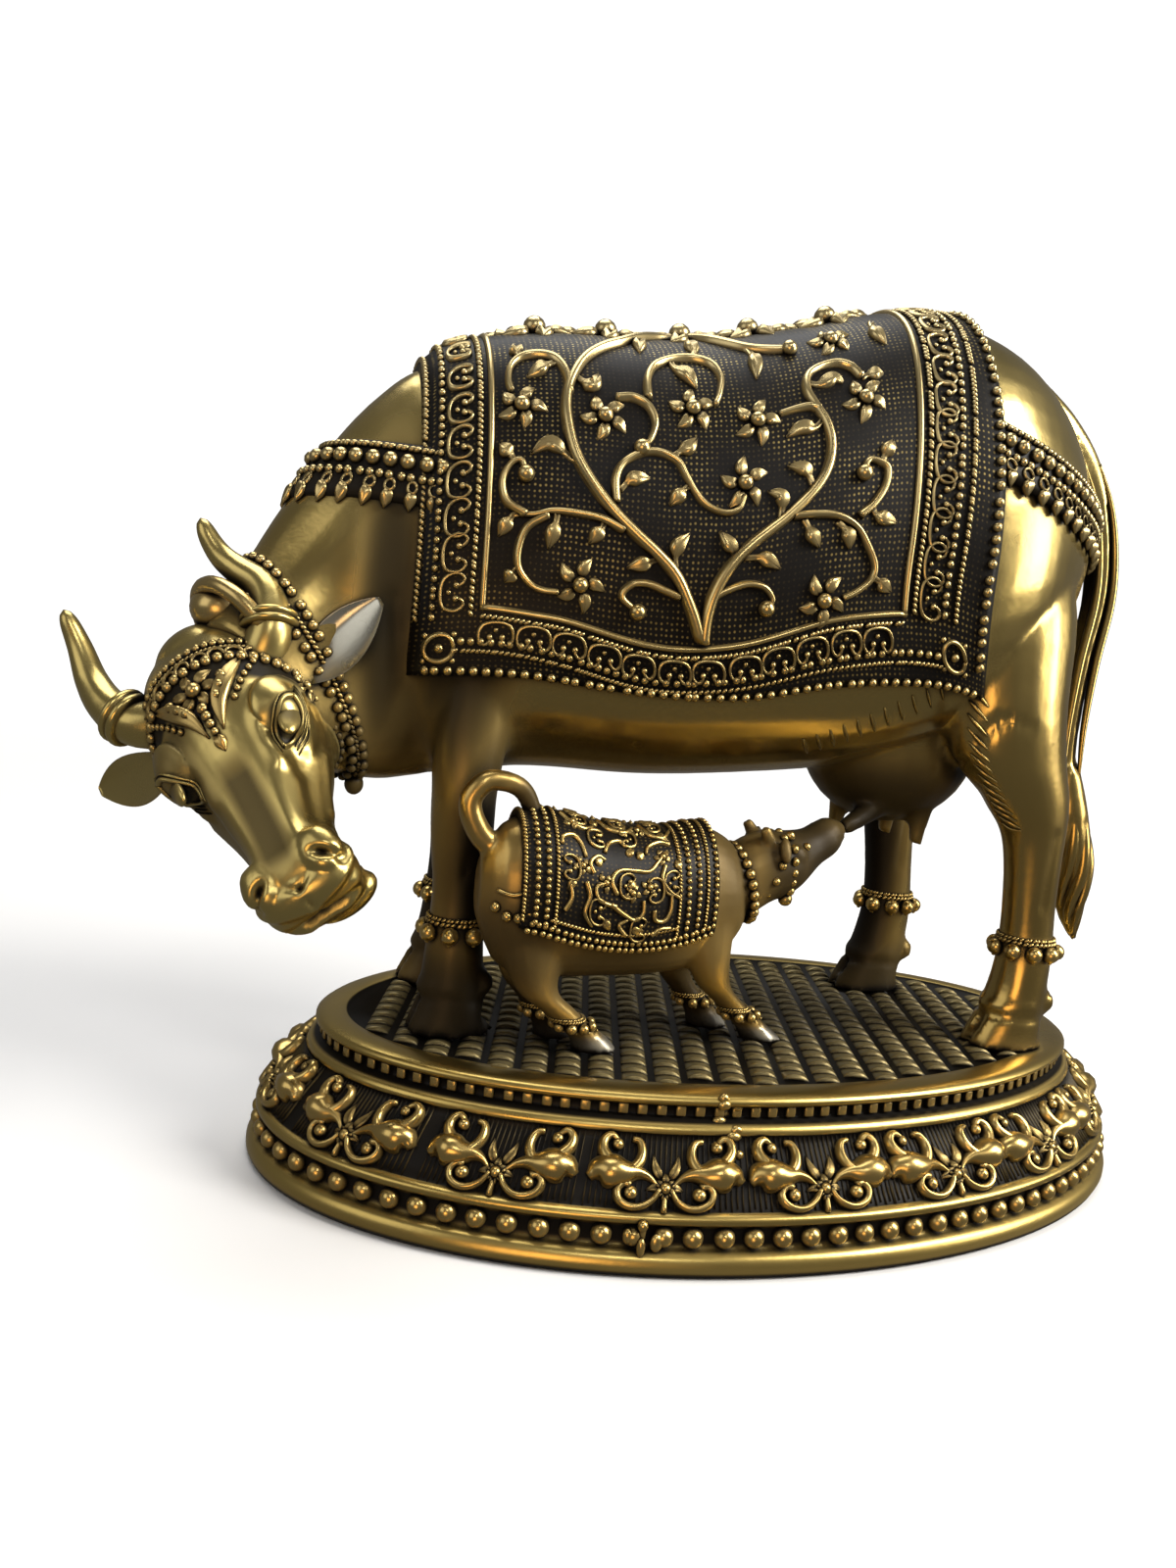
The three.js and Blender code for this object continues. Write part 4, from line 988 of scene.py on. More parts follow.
def head_black(spot):
    """Black lies under the strings of the brow and along the nose, as patina; on the cow's right cheek it
    is painted shade.
    """
    left, down, front = in_head(spot)
    row = 2.4 + 0.045 * left * left
    band = clamp((3.9 - abs(down - row - 2.7)) / 1.2) if front > -9 else 0.0
    nose = clamp((2.9 - abs(left + 0.4)) / 1.6) * clamp((down - 19) / 4) * clamp((38 - down) / 3)
    # Painted shade on the right cheek, the side turned away from the light.
    right = clamp((-2.5 - left) / 2.5) * clamp((down - 9) / 3) * clamp((36 - down) / 4)
    middle = clamp((15.5 - down - abs(left) * 1.5) / 1.5) if down > 3 and front > -2 else 0.0
    lids = max(exp(-(((Vector(spot) - eye).length - 2.3) / 0.55) ** 2) for eye in eyes)
    return max(0.9 * band, 0.9 * middle, 0.8 * lids, 0.62 * nose if front > -5 else 0.0, 0.45 * right)


def ear_silver(point):
    """Silver where the left ear looks forward."""
    left, down, _ = in_head(point.co)
    return 0.8 * clamp(point.normal.dot(head_front) * 4) if left > 12.5 and left + 0.6 * down > 18 else 0.0


finished("cow_head", features, "head", "cow", black_at=head_black)
finished("horns_ears_eyes", trim.mesh("trim"), "head", "cow", silver_at=ear_silver,
         black_at=lambda spot: 0.6 * max(exp(-((spot - eye).length / 2.0) ** 4) for eye in eyes))

# %% [markdown]
# ## Ornament
# Every ornament is made of five kinds of work: beads, ropes, scrolls, leaves and flowers. Each is
# laid on a surface, given as place(u, v, lift), so that the same work goes on the cloth, the straps,
# the calf and the plinth. A patch turns millimetres around one spot into that surface's own measure.

# %% Beads, ropes and scrolls
def patch(place, u, v, wide, tall):
    """Millimetres around (u, v) on a surface that is wide by tall millimetres."""
    return lambda x, y, lift: place(u + x / wide, v + y / tall, lift)


def spread(places, pitch, place):
    """Spots on a line of (u, v) places, one pitch apart on the surface."""
    fine = [Vector((*along(places, k / 120), 0)) for k in range(121)]
    lengths = lengths_of([Vector(place(p.x, p.y, 0)) for p in fine])
    count = max(2, round(lengths[-1] / pitch))
    out = []
    k = 0
    for i in range(count):
        while k < 119 and lengths[k + 1] < lengths[-1] * (i + 0.5) / count:
            k += 1
        out.append(fine[k])
    return out


def bead_row(pile, place, places, pitch, radius):
    for spot in spread(places, pitch, place):
        egg(pile, place(spot.x, spot.y, radius * 0.2), radius, 8, 5)


def rope(pile, place, places, thick):
    """A twisted cord: short eggs laid askew, each overlapping the next."""
    slant = 0.6
    spots = spread(places, thick * 1.15, place)
    for i, spot in enumerate(spots):
        here, _, out, _ = frame_of(place, spot.x, spot.y)
        after = spots[min(i + 1, len(spots) - 1)]
        before = spots[max(i - 1, 0)]
        ahead = Vector(place(after.x, after.y, 0)) - Vector(place(before.x, before.y, 0))
        ahead = (ahead - out * ahead.dot(out)).normalized()
        side = out.cross(ahead)
        lay = (ahead * cos(slant) + side * sin(slant)).normalized()
        turn = Matrix((lay, out.cross(lay), out)).transposed()
        egg(pile, here + out * thick * 0.15, (thick * 0.95, thick * 0.52, thick * 0.68), 6, 4, turn)


def rib(pile, place, places, thick, steps=60):
    """A plain shiny rib."""
    laid(pile, place, places, thick, thick * 1.2, 8, steps)


def scroll(pile, place, size, flip=1):
    """A C-scroll, opening to +x, with balls in its curled ends."""
    half = [(0.2, 0.3), (0.5, 0.38), (0.66, 0.62), (0.42, 0.9), (0.0, 0.95), (-0.42, 0.74), (-0.58, 0.3)]
    path = [(x * size * flip, y * size) for x, y in half]
    path += [(x * size * flip, -y * size) for x, y in reversed(half)]
    laid(pile, place, path, 0.12 * size, 0.3 * size, 6, 26)
    for y in (0.34, -0.34):
        egg(pile, place(0.22 * size * flip, y * size, 0.1 * size), 0.2 * size, 8, 5)
    egg(pile, place(-0.15 * size * flip, 0, 0.02), 0.17 * size, 8, 5)


def rosette(pile, place, size):
    """A ring with a dot, the knot in a corner of the cloth."""
    circle = [(size * cos(2 * pi * k / 12), size * sin(2 * pi * k / 12)) for k in range(13)]
    laid(pile, place, circle, 0.2 * size, 0.34 * size, 6, 28)
    egg(pile, place(0, 0, 0.1), 0.36 * size, 12, 8)
    for k in range(4):
        egg(pile, place(1.35 * size * cos(pi / 4 + k * pi / 2), 1.35 * size * sin(pi / 4 + k * pi / 2), 0),
            0.24 * size, 8, 5)

# %% Leaves and flowers
def leaf(pile, place, path, wide, high, stalk=0.0):
    """A grooved drop that swells after its base and ends in a point. The stalk is its thin share."""
    def swell(t):
        return sin(pi * clamp((t - stalk) / (1 - stalk), 0.02, 0.97) ** 0.75)
    laid(pile, place, path, lambda t: (0.3 if stalk else 0.1) * (1.3 - t) + wide * swell(t),
         lambda t: (0.5 if stalk else 0.15) + high * swell(t), 10, 16 if stalk else 12, groove=0.55)


def flower(pile, place, size, turn, petals=5):
    for k in range(petals):
        angle = turn + 2 * pi * k / petals
        bent = [(0.3, 0), (0.8, 0), (1.35, 0.22)]
        leaf(pile, place, [(far * size * cos(angle + more), far * size * sin(angle + more))
                           for far, more in bent], 0.33 * size, 0.34 * size)
    egg(pile, place(0, 0, 0.2 * size), 0.42 * size, 12, 8)


def double_grid(columns, rows, size):
    """A grid and a second one joined to it along the edges: the shape, and the points of the second."""
    made = bmesh.new()
    bmesh.ops.create_grid(made, x_segments=columns, y_segments=rows, size=size)
    grown = bmesh.ops.extrude_face_region(made, geom=made.faces[:], use_keep_orig=True)["geom"]
    return made, [g for g in grown if isinstance(g, bmesh.types.BMVert)]


def slab(place, columns, rows, depth):
    """A closed sheet on a surface, as points in (u, v, 0 or 1), faces and places."""
    sheet, top = double_grid(columns, rows, 0.5)
    bmesh.ops.translate(sheet, verts=top, vec=(0, 0, 1))
    bmesh.ops.translate(sheet, verts=sheet.verts, vec=(0.5, 0.5, 0))
    flat, faces = pattern_of(sheet)
    return flat, faces, [tuple(place(u, v, 0 if w > 0.5 else -depth)) for u, v, w in flat]


def woven_sheet(name, place, columns, rows, depth, wide, down):
    """A cloth, with its weave measured in millimetres. down is its length on one flank."""
    flat, faces, places = slab(place, columns, rows, depth)
    sheet = bpy.data.meshes.new(name)
    sheet.from_pydata(places, [], faces)
    weave = sheet.uv_layers.new(name="weave")
    for corner, loop in enumerate(sheet.loops):
        u, v, _ = flat[loop.vertex_index]
        weave.data[corner].uv = (u * wide, v * 2 * down)
    return sheet

# %% [markdown]
# ## The saddle cloth
# The cloth is a black woven sheet. The weave is drawn by the finish, as rows of rubbed dots on the
# cloth's own millimetre measure, and everything that stands out of it is modelled.

# %% Cloth
cloth_wide, cloth_down = 83.5, 62.0


def flank(side):
    """The cloth on one flank: across from the front edge, down from the ridge."""
    return lambda across, down, lift: cloth_point(across, side * down, cloth_lift + lift)


def on_cloth(place, u, v):
    """Millimetres around one spot of a flank."""
    return patch(place, u, v, cloth_wide, cloth_down)


sheet = woven_sheet("sheet", lambda u, v, lift: cloth_point(u, 2 * v - 1, cloth_lift + lift), 80, 110, 2.2,
                    cloth_wide, cloth_down)
finished("saddle_cloth", sheet, "ground", "cow")

# %% [markdown]
# The vine of the near flank: two stems rise from one root at the hem. The left one climbs in a
# long S and arches over near the ridge, the right one ends in a flower. All its places are read across
# and down the cloth, as a maker would set them out from a drawing.

# %% Vine
stems = [
    [(0.465, 0.87), (0.45, 0.82), (0.42, 0.755), (0.385, 0.715), (0.34, 0.675), (0.3, 0.635),
     (0.265, 0.585), (0.24, 0.53), (0.228, 0.46), (0.228, 0.4), (0.24, 0.34), (0.265, 0.27),
     (0.3, 0.215), (0.34, 0.17), (0.375, 0.12), (0.43, 0.05), (0.48, 0.05), (0.51, 0.13), (0.56, 0.21),
     (0.63, 0.245)],
    [(0.47, 0.875), (0.475, 0.82), (0.49, 0.765), (0.515, 0.72), (0.55, 0.685), (0.6, 0.65), (0.645, 0.61),
     (0.67, 0.57), (0.678, 0.52), (0.67, 0.47), (0.655, 0.43), (0.643, 0.385), (0.65, 0.345),
     (0.675, 0.325), (0.705, 0.32), (0.73, 0.34), (0.745, 0.375)],
]
curls = [
    [(0.31, 0.395), (0.34, 0.39), (0.365, 0.41), (0.375, 0.45), (0.365, 0.49), (0.35, 0.51)],
    [(0.365, 0.39), (0.368, 0.33), (0.385, 0.28), (0.42, 0.25), (0.455, 0.245), (0.485, 0.27),
     (0.497, 0.32), (0.49, 0.37), (0.48, 0.4)],
    [(0.233, 0.39), (0.23, 0.33), (0.215, 0.28), (0.19, 0.26), (0.16, 0.265), (0.14, 0.3), (0.135, 0.35),
     (0.14, 0.385)],
    [(0.165, 0.665), (0.135, 0.64), (0.127, 0.6), (0.137, 0.565), (0.155, 0.555), (0.163, 0.585)],
    [(0.325, 0.675), (0.29, 0.66), (0.25, 0.655), (0.21, 0.655), (0.18, 0.665), (0.155, 0.665)],
    [(0.2, 0.665), (0.17, 0.69), (0.158, 0.73), (0.16, 0.77), (0.18, 0.8), (0.2, 0.81), (0.225, 0.81)],
    [(0.425, 0.79), (0.4, 0.78), (0.37, 0.77), (0.345, 0.775), (0.33, 0.8), (0.357, 0.825)],
    [(0.31, 0.625), (0.308, 0.58), (0.32, 0.545), (0.35, 0.52), (0.38, 0.515), (0.41, 0.53), (0.425, 0.56),
     (0.44, 0.59), (0.46, 0.615), (0.49, 0.63), (0.515, 0.625), (0.525, 0.6)],
    [(0.66, 0.44), (0.645, 0.43), (0.62, 0.43), (0.59, 0.435)],
    [(0.61, 0.65), (0.65, 0.655), (0.69, 0.665), (0.725, 0.69), (0.75, 0.73), (0.765, 0.765), (0.76, 0.79),
     (0.735, 0.81), (0.71, 0.82)],
    [(0.73, 0.67), (0.755, 0.65), (0.775, 0.62), (0.78, 0.59), (0.77, 0.575), (0.745, 0.565),
     (0.735, 0.59)],
    [(0.48, 0.79), (0.505, 0.775), (0.54, 0.765), (0.57, 0.775), (0.585, 0.8), (0.575, 0.815)],
]
balls = [(0.163, 0.585), (0.357, 0.825), (0.735, 0.59), (0.575, 0.815), (0.63, 0.245), (0.35, 0.51)]
leaves = [
    [(0.42, 0.285), (0.44, 0.31), (0.452, 0.35)], [(0.455, 0.24), (0.465, 0.2), (0.46, 0.13)],
    [(0.2, 0.3), (0.165, 0.34)], [(0.155, 0.26), (0.15, 0.215)],
    [(0.235, 0.545), (0.2, 0.515), (0.17, 0.54)], [(0.14, 0.545), (0.12, 0.515)],
    [(0.145, 0.67), (0.125, 0.71)], [(0.215, 0.67), (0.205, 0.73)],
    [(0.29, 0.675), (0.27, 0.71)], [(0.16, 0.77), (0.14, 0.8)], [(0.38, 0.725), (0.335, 0.745)],
    [(0.315, 0.6), (0.335, 0.575), (0.365, 0.57)], [(0.425, 0.585), (0.4, 0.62)],
    [(0.41, 0.515), (0.43, 0.5), (0.445, 0.48)], [(0.415, 0.74), (0.415, 0.7), (0.435, 0.67)],
    [(0.515, 0.73), (0.51, 0.7), (0.485, 0.665)], [(0.65, 0.48), (0.625, 0.475), (0.6, 0.49)],
    [(0.645, 0.6), (0.63, 0.565), (0.6, 0.55)], [(0.59, 0.655), (0.59, 0.61), (0.565, 0.595)],
    [(0.63, 0.66), (0.645, 0.69), (0.66, 0.72)], [(0.69, 0.675), (0.71, 0.7), (0.715, 0.73)],
    [(0.76, 0.67), (0.8, 0.69)], [(0.77, 0.79), (0.8, 0.815)], [(0.775, 0.56), (0.79, 0.53)],
    [(0.53, 0.715), (0.565, 0.72), (0.595, 0.745)], [(0.665, 0.375), (0.695, 0.365), (0.71, 0.38)],
    [(0.76, 0.37), (0.785, 0.375)], [(0.56, 0.22), (0.565, 0.27), (0.56, 0.33)],
    [(0.8, 0.17), (0.795, 0.22), (0.805, 0.28)], [(0.375, 0.13), (0.365, 0.22)],
    [(0.27, 0.365), (0.285, 0.33)],
]
flowers = [(0.155, 0.425), (0.29, 0.445), (0.44, 0.41), (0.55, 0.445), (0.745, 0.43), (0.525, 0.575),
           (0.26, 0.79), (0.675, 0.82), (0.71, 0.23)]
ridge_flowers = [0.2, 0.33, 0.47, 0.6, 0.75]


vine_points = [point for path in stems + curls
               for point in smooth_path([Vector((u, v, 0)) for u, v in path], 30)]


def stalked(path):
    """A leaf's path, led back to the nearest stem."""
    def apart(point):
        return ((point[0] - path[0][0]) * cloth_wide) ** 2 + ((point[1] - path[0][1]) * cloth_down) ** 2
    root = min(vine_points, key=apart)
    if not 0.4 < apart(root) < 30:
        return path
    return [(root[0], root[1])] + path


def vine_on(pile, place):
    for path in stems:
        laid(pile, place, path, (1.0, 0.6), (1.5, 1.0), 8, 80)
    for path in curls:
        laid(pile, place, path, (0.7, 0.48), (1.15, 0.85), 8, 7 * len(path))
    for u, v in balls:
        egg(pile, place(u, v, 0.5), 1.2, 12, 8)
    for path in leaves:
        leaf(pile, place, stalked(path), 0.95, 0.9, 0.3)
    for k, (u, v) in enumerate(flowers):
        flower(pile, on_cloth(place, u, v), 2.65, 0.4 * k)


vine = Pile()
for side in (-1, 1):
    vine_on(vine, flank(side))
for k, u in enumerate(ridge_flowers):
    ridge = on_cloth(flank(-1), u, 0.03)
    flower(vine, ridge, 4.2, 0.3 * k)
    for side in (-1, 1):
        leaf(vine, ridge, [(side * 3.6, -1), (side * 5.4, -1.6 + side), (side * 7.4, -0.6)], 1.3, 1.3)
finished("vine", vine.mesh("vine"), "relief", "cow")

# %% [markdown]
# The borders, from the outer edge inwards: a rope, a row of beads, a row of C-scrolls and a double rib.
# In the lower corners a ring with a dot closes the pattern.

# %% Borders
front_lines = {"rope": 0.006, "beads": 0.03, "scrolls": 0.058, "inner rope": 0.09, "rib": 0.108}
rear_line = [(0.86, 0.0), (0.86, 0.2), (0.845, 0.5), (0.835, 0.7), (0.828, 0.86)]
hem_rib = [(0.105, 0.85), (0.18, 0.86), (0.25, 0.866), (0.38, 0.89), (0.47, 0.89), (0.62, 0.87),
           (0.7, 0.86), (0.83, 0.855)]
hem_beads = [(0.07, 0.92), (0.15, 0.925), (0.25, 0.94), (0.4, 0.965), (0.6, 0.945), (0.8, 0.93),
             (0.9, 0.93)]


def shifted(line, across=0.0, down=0.0):
    return [(u + across, v + down) for u, v in line]


def front_line(name, *downs):
    """A line along the front edge of the cloth, through places down its flank."""
    return [(front_lines[name], down) for down in downs]


def borders_on(pile, place):
    for name in ("rope", "inner rope"):
        rope(pile, place, front_line(name, 0, 0.87), 0.75)
    bead_row(pile, place, front_line("beads", 0, 0.88), 1.35, 0.55)
    rib(pile, place, front_line("rib", 0, 0.5, 0.855), 0.5)
    rib(pile, place, rear_line, 0.5)
    rope(pile, place, shifted(rear_line, 0.018), 0.75)
    bead_row(pile, place, shifted(rear_line, 0.075), 1.45, 0.62)
    rope(pile, place, shifted(rear_line, 0.098), 0.7)
    bead_row(pile, place, [(0.992, 0), (0.99, 0.5), (0.98, 0.94)], 1.9, 0.75)
    rib(pile, place, hem_rib, 0.5)
    rope(pile, place, shifted(hem_rib, 0, 0.017), 0.7)
    bead_row(pile, place, hem_beads, 1.45, 0.62)
    rope(pile, place, shifted(hem_beads, 0, 0.02), 0.62)
    bead_row(pile, place, [(0.02, 0.985), (0.3, 0.992), (0.7, 0.992), (0.98, 0.99)], 1.8, 0.7)
    for line in (front_line("scrolls", 0, 0.86), shifted(rear_line, 0.045)):
        for spot in spread(line, 5.2, place):
            scroll(pile, on_cloth(place, spot.x, spot.y), 2.5)
    for spot in spread(shifted([(0.105, 0.855)] + hem_rib[1:-1] + [(0.81, 0.856)], 0, 0.046), 5.3, place):
        near = on_cloth(place, spot.x, spot.y)
        scroll(pile, lambda x, y, lift: near(y, x, lift), 2.4)
    for u, v in [(0.045, 0.935), (0.925, 0.925)]:
        rosette(pile, on_cloth(place, u, v), 1.9)


borders = Pile()
for side in (-1, 1):
    borders_on(borders, flank(side))
finished("cloth_borders", borders.mesh("borders"), "relief", "cow")

# %% [markdown]
# ## Straps
# The breast strap runs round the neck and the breeching round the haunches. Both are bands with a rope on
# top, a row of large beads, a row of small ones and drops that hang below, each from a small ring.

# %% Breast strap and breeching
def strap_on(pile, place, length, tall, columns):
    """u runs along the band, v from its lower edge at 0 to its upper edge at 1."""
    def level(v):
        return [(0.01, v), (0.5, v), (0.99, v)]
    _, faces, places = slab(place, columns, 6, 2.0)
    bands.add(places, faces)
    rope(pile, place, level(0.9), 0.85)
    bead_row(pile, place, level(0.66), 2.5, 1.15)
    bead_row(pile, place, level(0.4), 1.5, 0.68)
    small_ring = [(0.8 * cos(2 * pi * k / 8), 1.1 + 0.8 * sin(2 * pi * k / 8)) for k in range(9)]
    for spot in spread(level(0), 3.3, place):
        near = patch(place, spot.x, 0.1, length, tall)
        laid(pile, near, small_ring, 0.26, 0.5, 6, 16)
        leaf(pile, near, [(0, 0.5), (0, -0.6), (0, -2.0)], 0.85, 0.9)


strap_z, strap_wide, strap_start, strap_lift = 80.0, 8.0, 0.1, 0.7


def breast_place(u, v, lift):
    z = strap_z + (v - 0.5) * strap_wide
    t = lerp(strap_start, nape_at(z), sin(pi * min(clamp(u), 1 - clamp(u))))
    return neck_point(t, (1 if u > 0.5 else -1) * neck_angle(t, z), strap_lift + lift)


breeching = {"from": 25.5, "to": 57.2, "start z": 94, "end z": 84, "width": 8.0, "lift": 0.9}


def breeching_place(side):
    def place(u, v, lift):
        x = lerp(breeching["from"], breeching["to"], u)
        z = lerp(breeching["start z"], breeching["end z"], u) + (v - 0.5) * breeching["width"]
        return barrel_point(x, side * barrel_angle(x, z), breeching["lift"] + lift)
    return place


straps, bands = Pile(), Pile()
strap_on(straps, breast_place, 66, strap_wide, 60)
for side in (-1, 1):
    strap_on(straps, breeching_place(side), 30, breeching["width"], 24)
finished("straps", straps.mesh("straps"), "relief", "cow")
finished("strap_bands", bands.mesh("bands"), "relief", "cow", black_at=lambda spot: 0.93)

# %% [markdown]
# ## Headdress
# Strings of beads and rows of little arches cross the brow from horn to horn, a flower and a drop
# hang on the forehead, and a leaf sweeps from each horn to the middle. A string passes behind the eye
# and under the jaw, two bead rows with a bell form the collar, and behind the horns a thick cord is
# wound round the neck.

# %% Headdress
jewels = Pile()
brow = [(-1.5, 6.8), (-1.15, 6.0), (-0.75, 3.9), (-0.3, 2.4), (0.3, 2.4), (0.75, 3.9), (1.15, 6.0),
        (1.5, 6.8)]
bead_row(jewels, head_place, brow, 1.15, 0.62)
rope(jewels, head_place, shifted(brow, 0, 1.1), 0.55)
bead_row(jewels, head_place, shifted(brow, 0, 3.2), 1.5, 0.78)
for spot in spread(shifted(brow, 0, 2.2), 2.3, head_place):
    near = patch(head_place, spot.x, spot.y, 9.5, 1.0)
    laid(jewels, near, [(-0.95, 0.9), (-0.8, -0.3), (0, -0.8), (0.8, -0.3), (0.95, 0.9)], 0.3, 0.7, 6, 14)
forehead = patch(head_place, 0, 9.2, 9.5, 1.0)
flower(jewels, forehead, 2.5, 0.2, 6)
for side in (-1, 1):
    for k in range(3):
        egg(jewels, forehead(side * (1.9 + 0.75 * k), 2.3 - 1.3 * k, 0.3), 0.75, 10, 6)
    sweep = [(side * 0.66, 7.0), (side * 0.42, 9.2), (side * 0.2, 12.4), (side * 0.1, 16.4)]
    leaf(jewels, head_place, sweep, 1.25, 1.3)
    bead_row(jewels, head_place, [(side * 0.82, 7.6), (side * 0.55, 10.4), (side * 0.34, 13.4)], 1.2, 0.5)
for k in range(4):
    egg(jewels, head_place(0, 12.4 + 1.25 * k, 0.3), 0.8 - 0.08 * k, 10, 6)
leaf(jewels, head_place, [(0, 16.6), (0, 17.8), (0, 19.2)], 0.8, 0.9)
for side in (-1, 1):
    cheek = [(side * a, d) for a, d in [(1.3, 9.6), (1.5, 12.0), (1.75, 13.4), (1.95, 15.2), (2.15, 16.6),
                                        (2.4, 17.2), (2.8, 17.4), (3.1, 17.4)]]
    bead_row(jewels, head_place, cheek, 1.3, 0.68)
    rope(jewels, head_place, shifted(cheek, 0, -1.3), 0.5)
    flower(jewels, patch(head_place, side * 1.42, 11.2, 10, 1.0), 1.9, 0.1)


def neck_place(angle, t, lift):
    return neck_point(t, angle, lift)


def ring_at(height):
    """A line all the way round: angles, each with the same height."""
    return [(angle, height) for angle in (-pi, -2, -1, 0, 1, 2, pi)]


for t in (0.80, 0.87):
    bead_row(jewels, neck_place, ring_at(t), 1.8, 0.78)
rope(jewels, neck_place, ring_at(0.835), 0.7)
wound = [(-1.2, 0.4), (-0.8, 1.5), (-0.45, 2.6), (-0.1, 3.2), (0.25, 3.1), (0.6, 2.3), (0.95, 1.0)]
cord(jewels, [neck_point(0.94, angle, lift) for angle, lift in wound], 1.2, 12, 30)
egg(jewels, neck_point(0.92, -0.2, -0.6), (4.2, 4.2, 3.6), 24, 14)
bead_row(jewels, neck_place, [(-1.0, 0.90), (-0.4, 0.90), (0.2, 0.90), (0.8, 0.90)], 1.8, 0.8)
bell = neck_point(0.84, pi, 1.4)
egg(jewels, bell, (1.4, 1.4, 1.6), 18, 12)
egg(jewels, bell + Vector((0, 0, 1.8)), 0.8, 10, 6)
# The strings and beads low on the neck, under the head, are darkened as painted shade.
finished("headdress", jewels.mesh("jewels"), "relief", "cow",
         black_at=lambda spot: 0.6 * clamp((50 - spot.z) / 6) * clamp((spot.x + 77) / 4))

# %% [markdown]
# Around each fetlock lies a string of bells: a twisted cord with round bells under it. The string
# follows the leg's own oval at its height.

# %% Anklets
def around(rows):
    """The skin of a leg: angle around it, height up it."""
    by_height = sorted((z, x, y, long, wide) for x, y, z, long, wide in rows)

    def place(angle, z, lift):
        x, y, long, wide = through(by_height, z)
        return Vector((x + (long + lift) * sin(angle), y + (wide + lift) * cos(angle), z))
    return place


def anklet(pile, rows, z, cord_thick, bell_size):
    place, ring = around(rows), ring_at(z)
    rope(pile, place, shifted(ring, 0, bell_size * 0.95), cord_thick)
    rope(pile, place, shifted(ring, 0.1, bell_size * 0.95 + cord_thick * 0.9), cord_thick * 0.8)
    for spot in spread(ring, bell_size * 2.25, place):
        egg(pile, place(spot.x, spot.y - 0.2, bell_size * 0.45), bell_size, 12, 8)
        egg(pile, place(spot.x, spot.y - 0.2 - bell_size * 0.9, bell_size * 0.5), bell_size * 0.3, 6, 4)


anklets = Pile()
for rows in leg_rows.values():
    anklet(anklets, rows, rows[-4][2] + 0.5, 0.7, 1.35)
finished("anklets", anklets.mesh("anklets"), "relief", "cow")

# %% [markdown]
# ## The calf
# The calf is a small cow: a barrel, four legs that step out, and a head that is a cord from the neck
# up to the teat. Her cloth repeats the pattern of her mother's.

# %% Calf forms
calf_barrel = [
    # x, top, bottom, half-width, middle y
    (-46.4, 28.5, 20.5, 2.4, -18), (-43.5, 33.5, 14, 5.4, -17.8), (-38, 35, 11.5, 7.6, -17),
    (-28, 33.2, 11, 8.2, -15.6), (-18, 32.8, 11, 8.2, -14), (-10, 33.4, 12, 7.2, -12.8),
    (-5, 30.5, 15, 5.8, -12.2), (-2.5, 26, 19, 2.5, -12),
]
calf_legs = {
    "near hind": [(-38, -19.6, 22, 6.2, 4), (-38, -20.2, 15, 4.6, 3.4), (-36.8, -20, 10, 3.1, 2.5),
                  (-33.5, -19.2, 7, 2.7, 2.2), (-30.3, -18.2, 4.2, 2.6, 2.3), (-27.5, -17.4, 1.8, 3, 2.4),
                  (-26.4, -17.2, 0, 3.6, 2.6)],
    "far hind": [(-38, -15, 22, 5.5, 3.6), (-38.4, -14, 15, 4, 3), (-37.6, -13, 10, 2.9, 2.4),
                 (-35.4, -12.2, 7, 2.6, 2.2), (-33.4, -11.6, 4.2, 2.6, 2.3), (-31.6, -11.2, 1.8, 3, 2.4),
                 (-30.8, -11, 0, 3.6, 2.6)],
    "near front": [(-10, -15.5, 22, 5, 4), (-9.6, -16.4, 15, 3.8, 3.2), (-8, -16.4, 10, 2.8, 2.4),
                   (-5, -15.4, 7, 2.4, 2.1), (-2, -14.4, 4.4, 2.5, 2.2), (1, -13.6, 1.8, 2.9, 2.4),
                   (2.6, -13.4, 0, 3.6, 2.6)],
    "far front": [(-11, -10.5, 22, 5, 4), (-11.5, -9, 15, 3.8, 3.2), (-11.5, -8.4, 10, 2.8, 2.4),
                  (-9.5, -7.8, 7, 2.4, 2.1), (-7, -7.4, 4.4, 2.5, 2.2), (-5, -7, 1.8, 2.9, 2.4),
                  (-4, -6.8, 0, 3.6, 2.6)],
}


def calf_point(x, angle, lift):
    top, bottom, wide, middle = through(calf_barrel, x)
    return Vector((x, middle + (wide + lift) * sin(angle),
                   (top + bottom) / 2 + ((top - bottom) / 2 + lift) * cos(angle)))


calf_cloth_rear, calf_cloth_front = -38.5, -8.5


def calf_cloth_point(across, down, lift):
    """across: 0 at the rear edge, 1 at the front. down: -1 at the near hem, 1 at the far one."""
    x = lerp(calf_cloth_rear, calf_cloth_front, across)
    return calf_point(x, down * (1.85 + 0.14 * sin(pi * clamp(across))), 0.9 + lift)


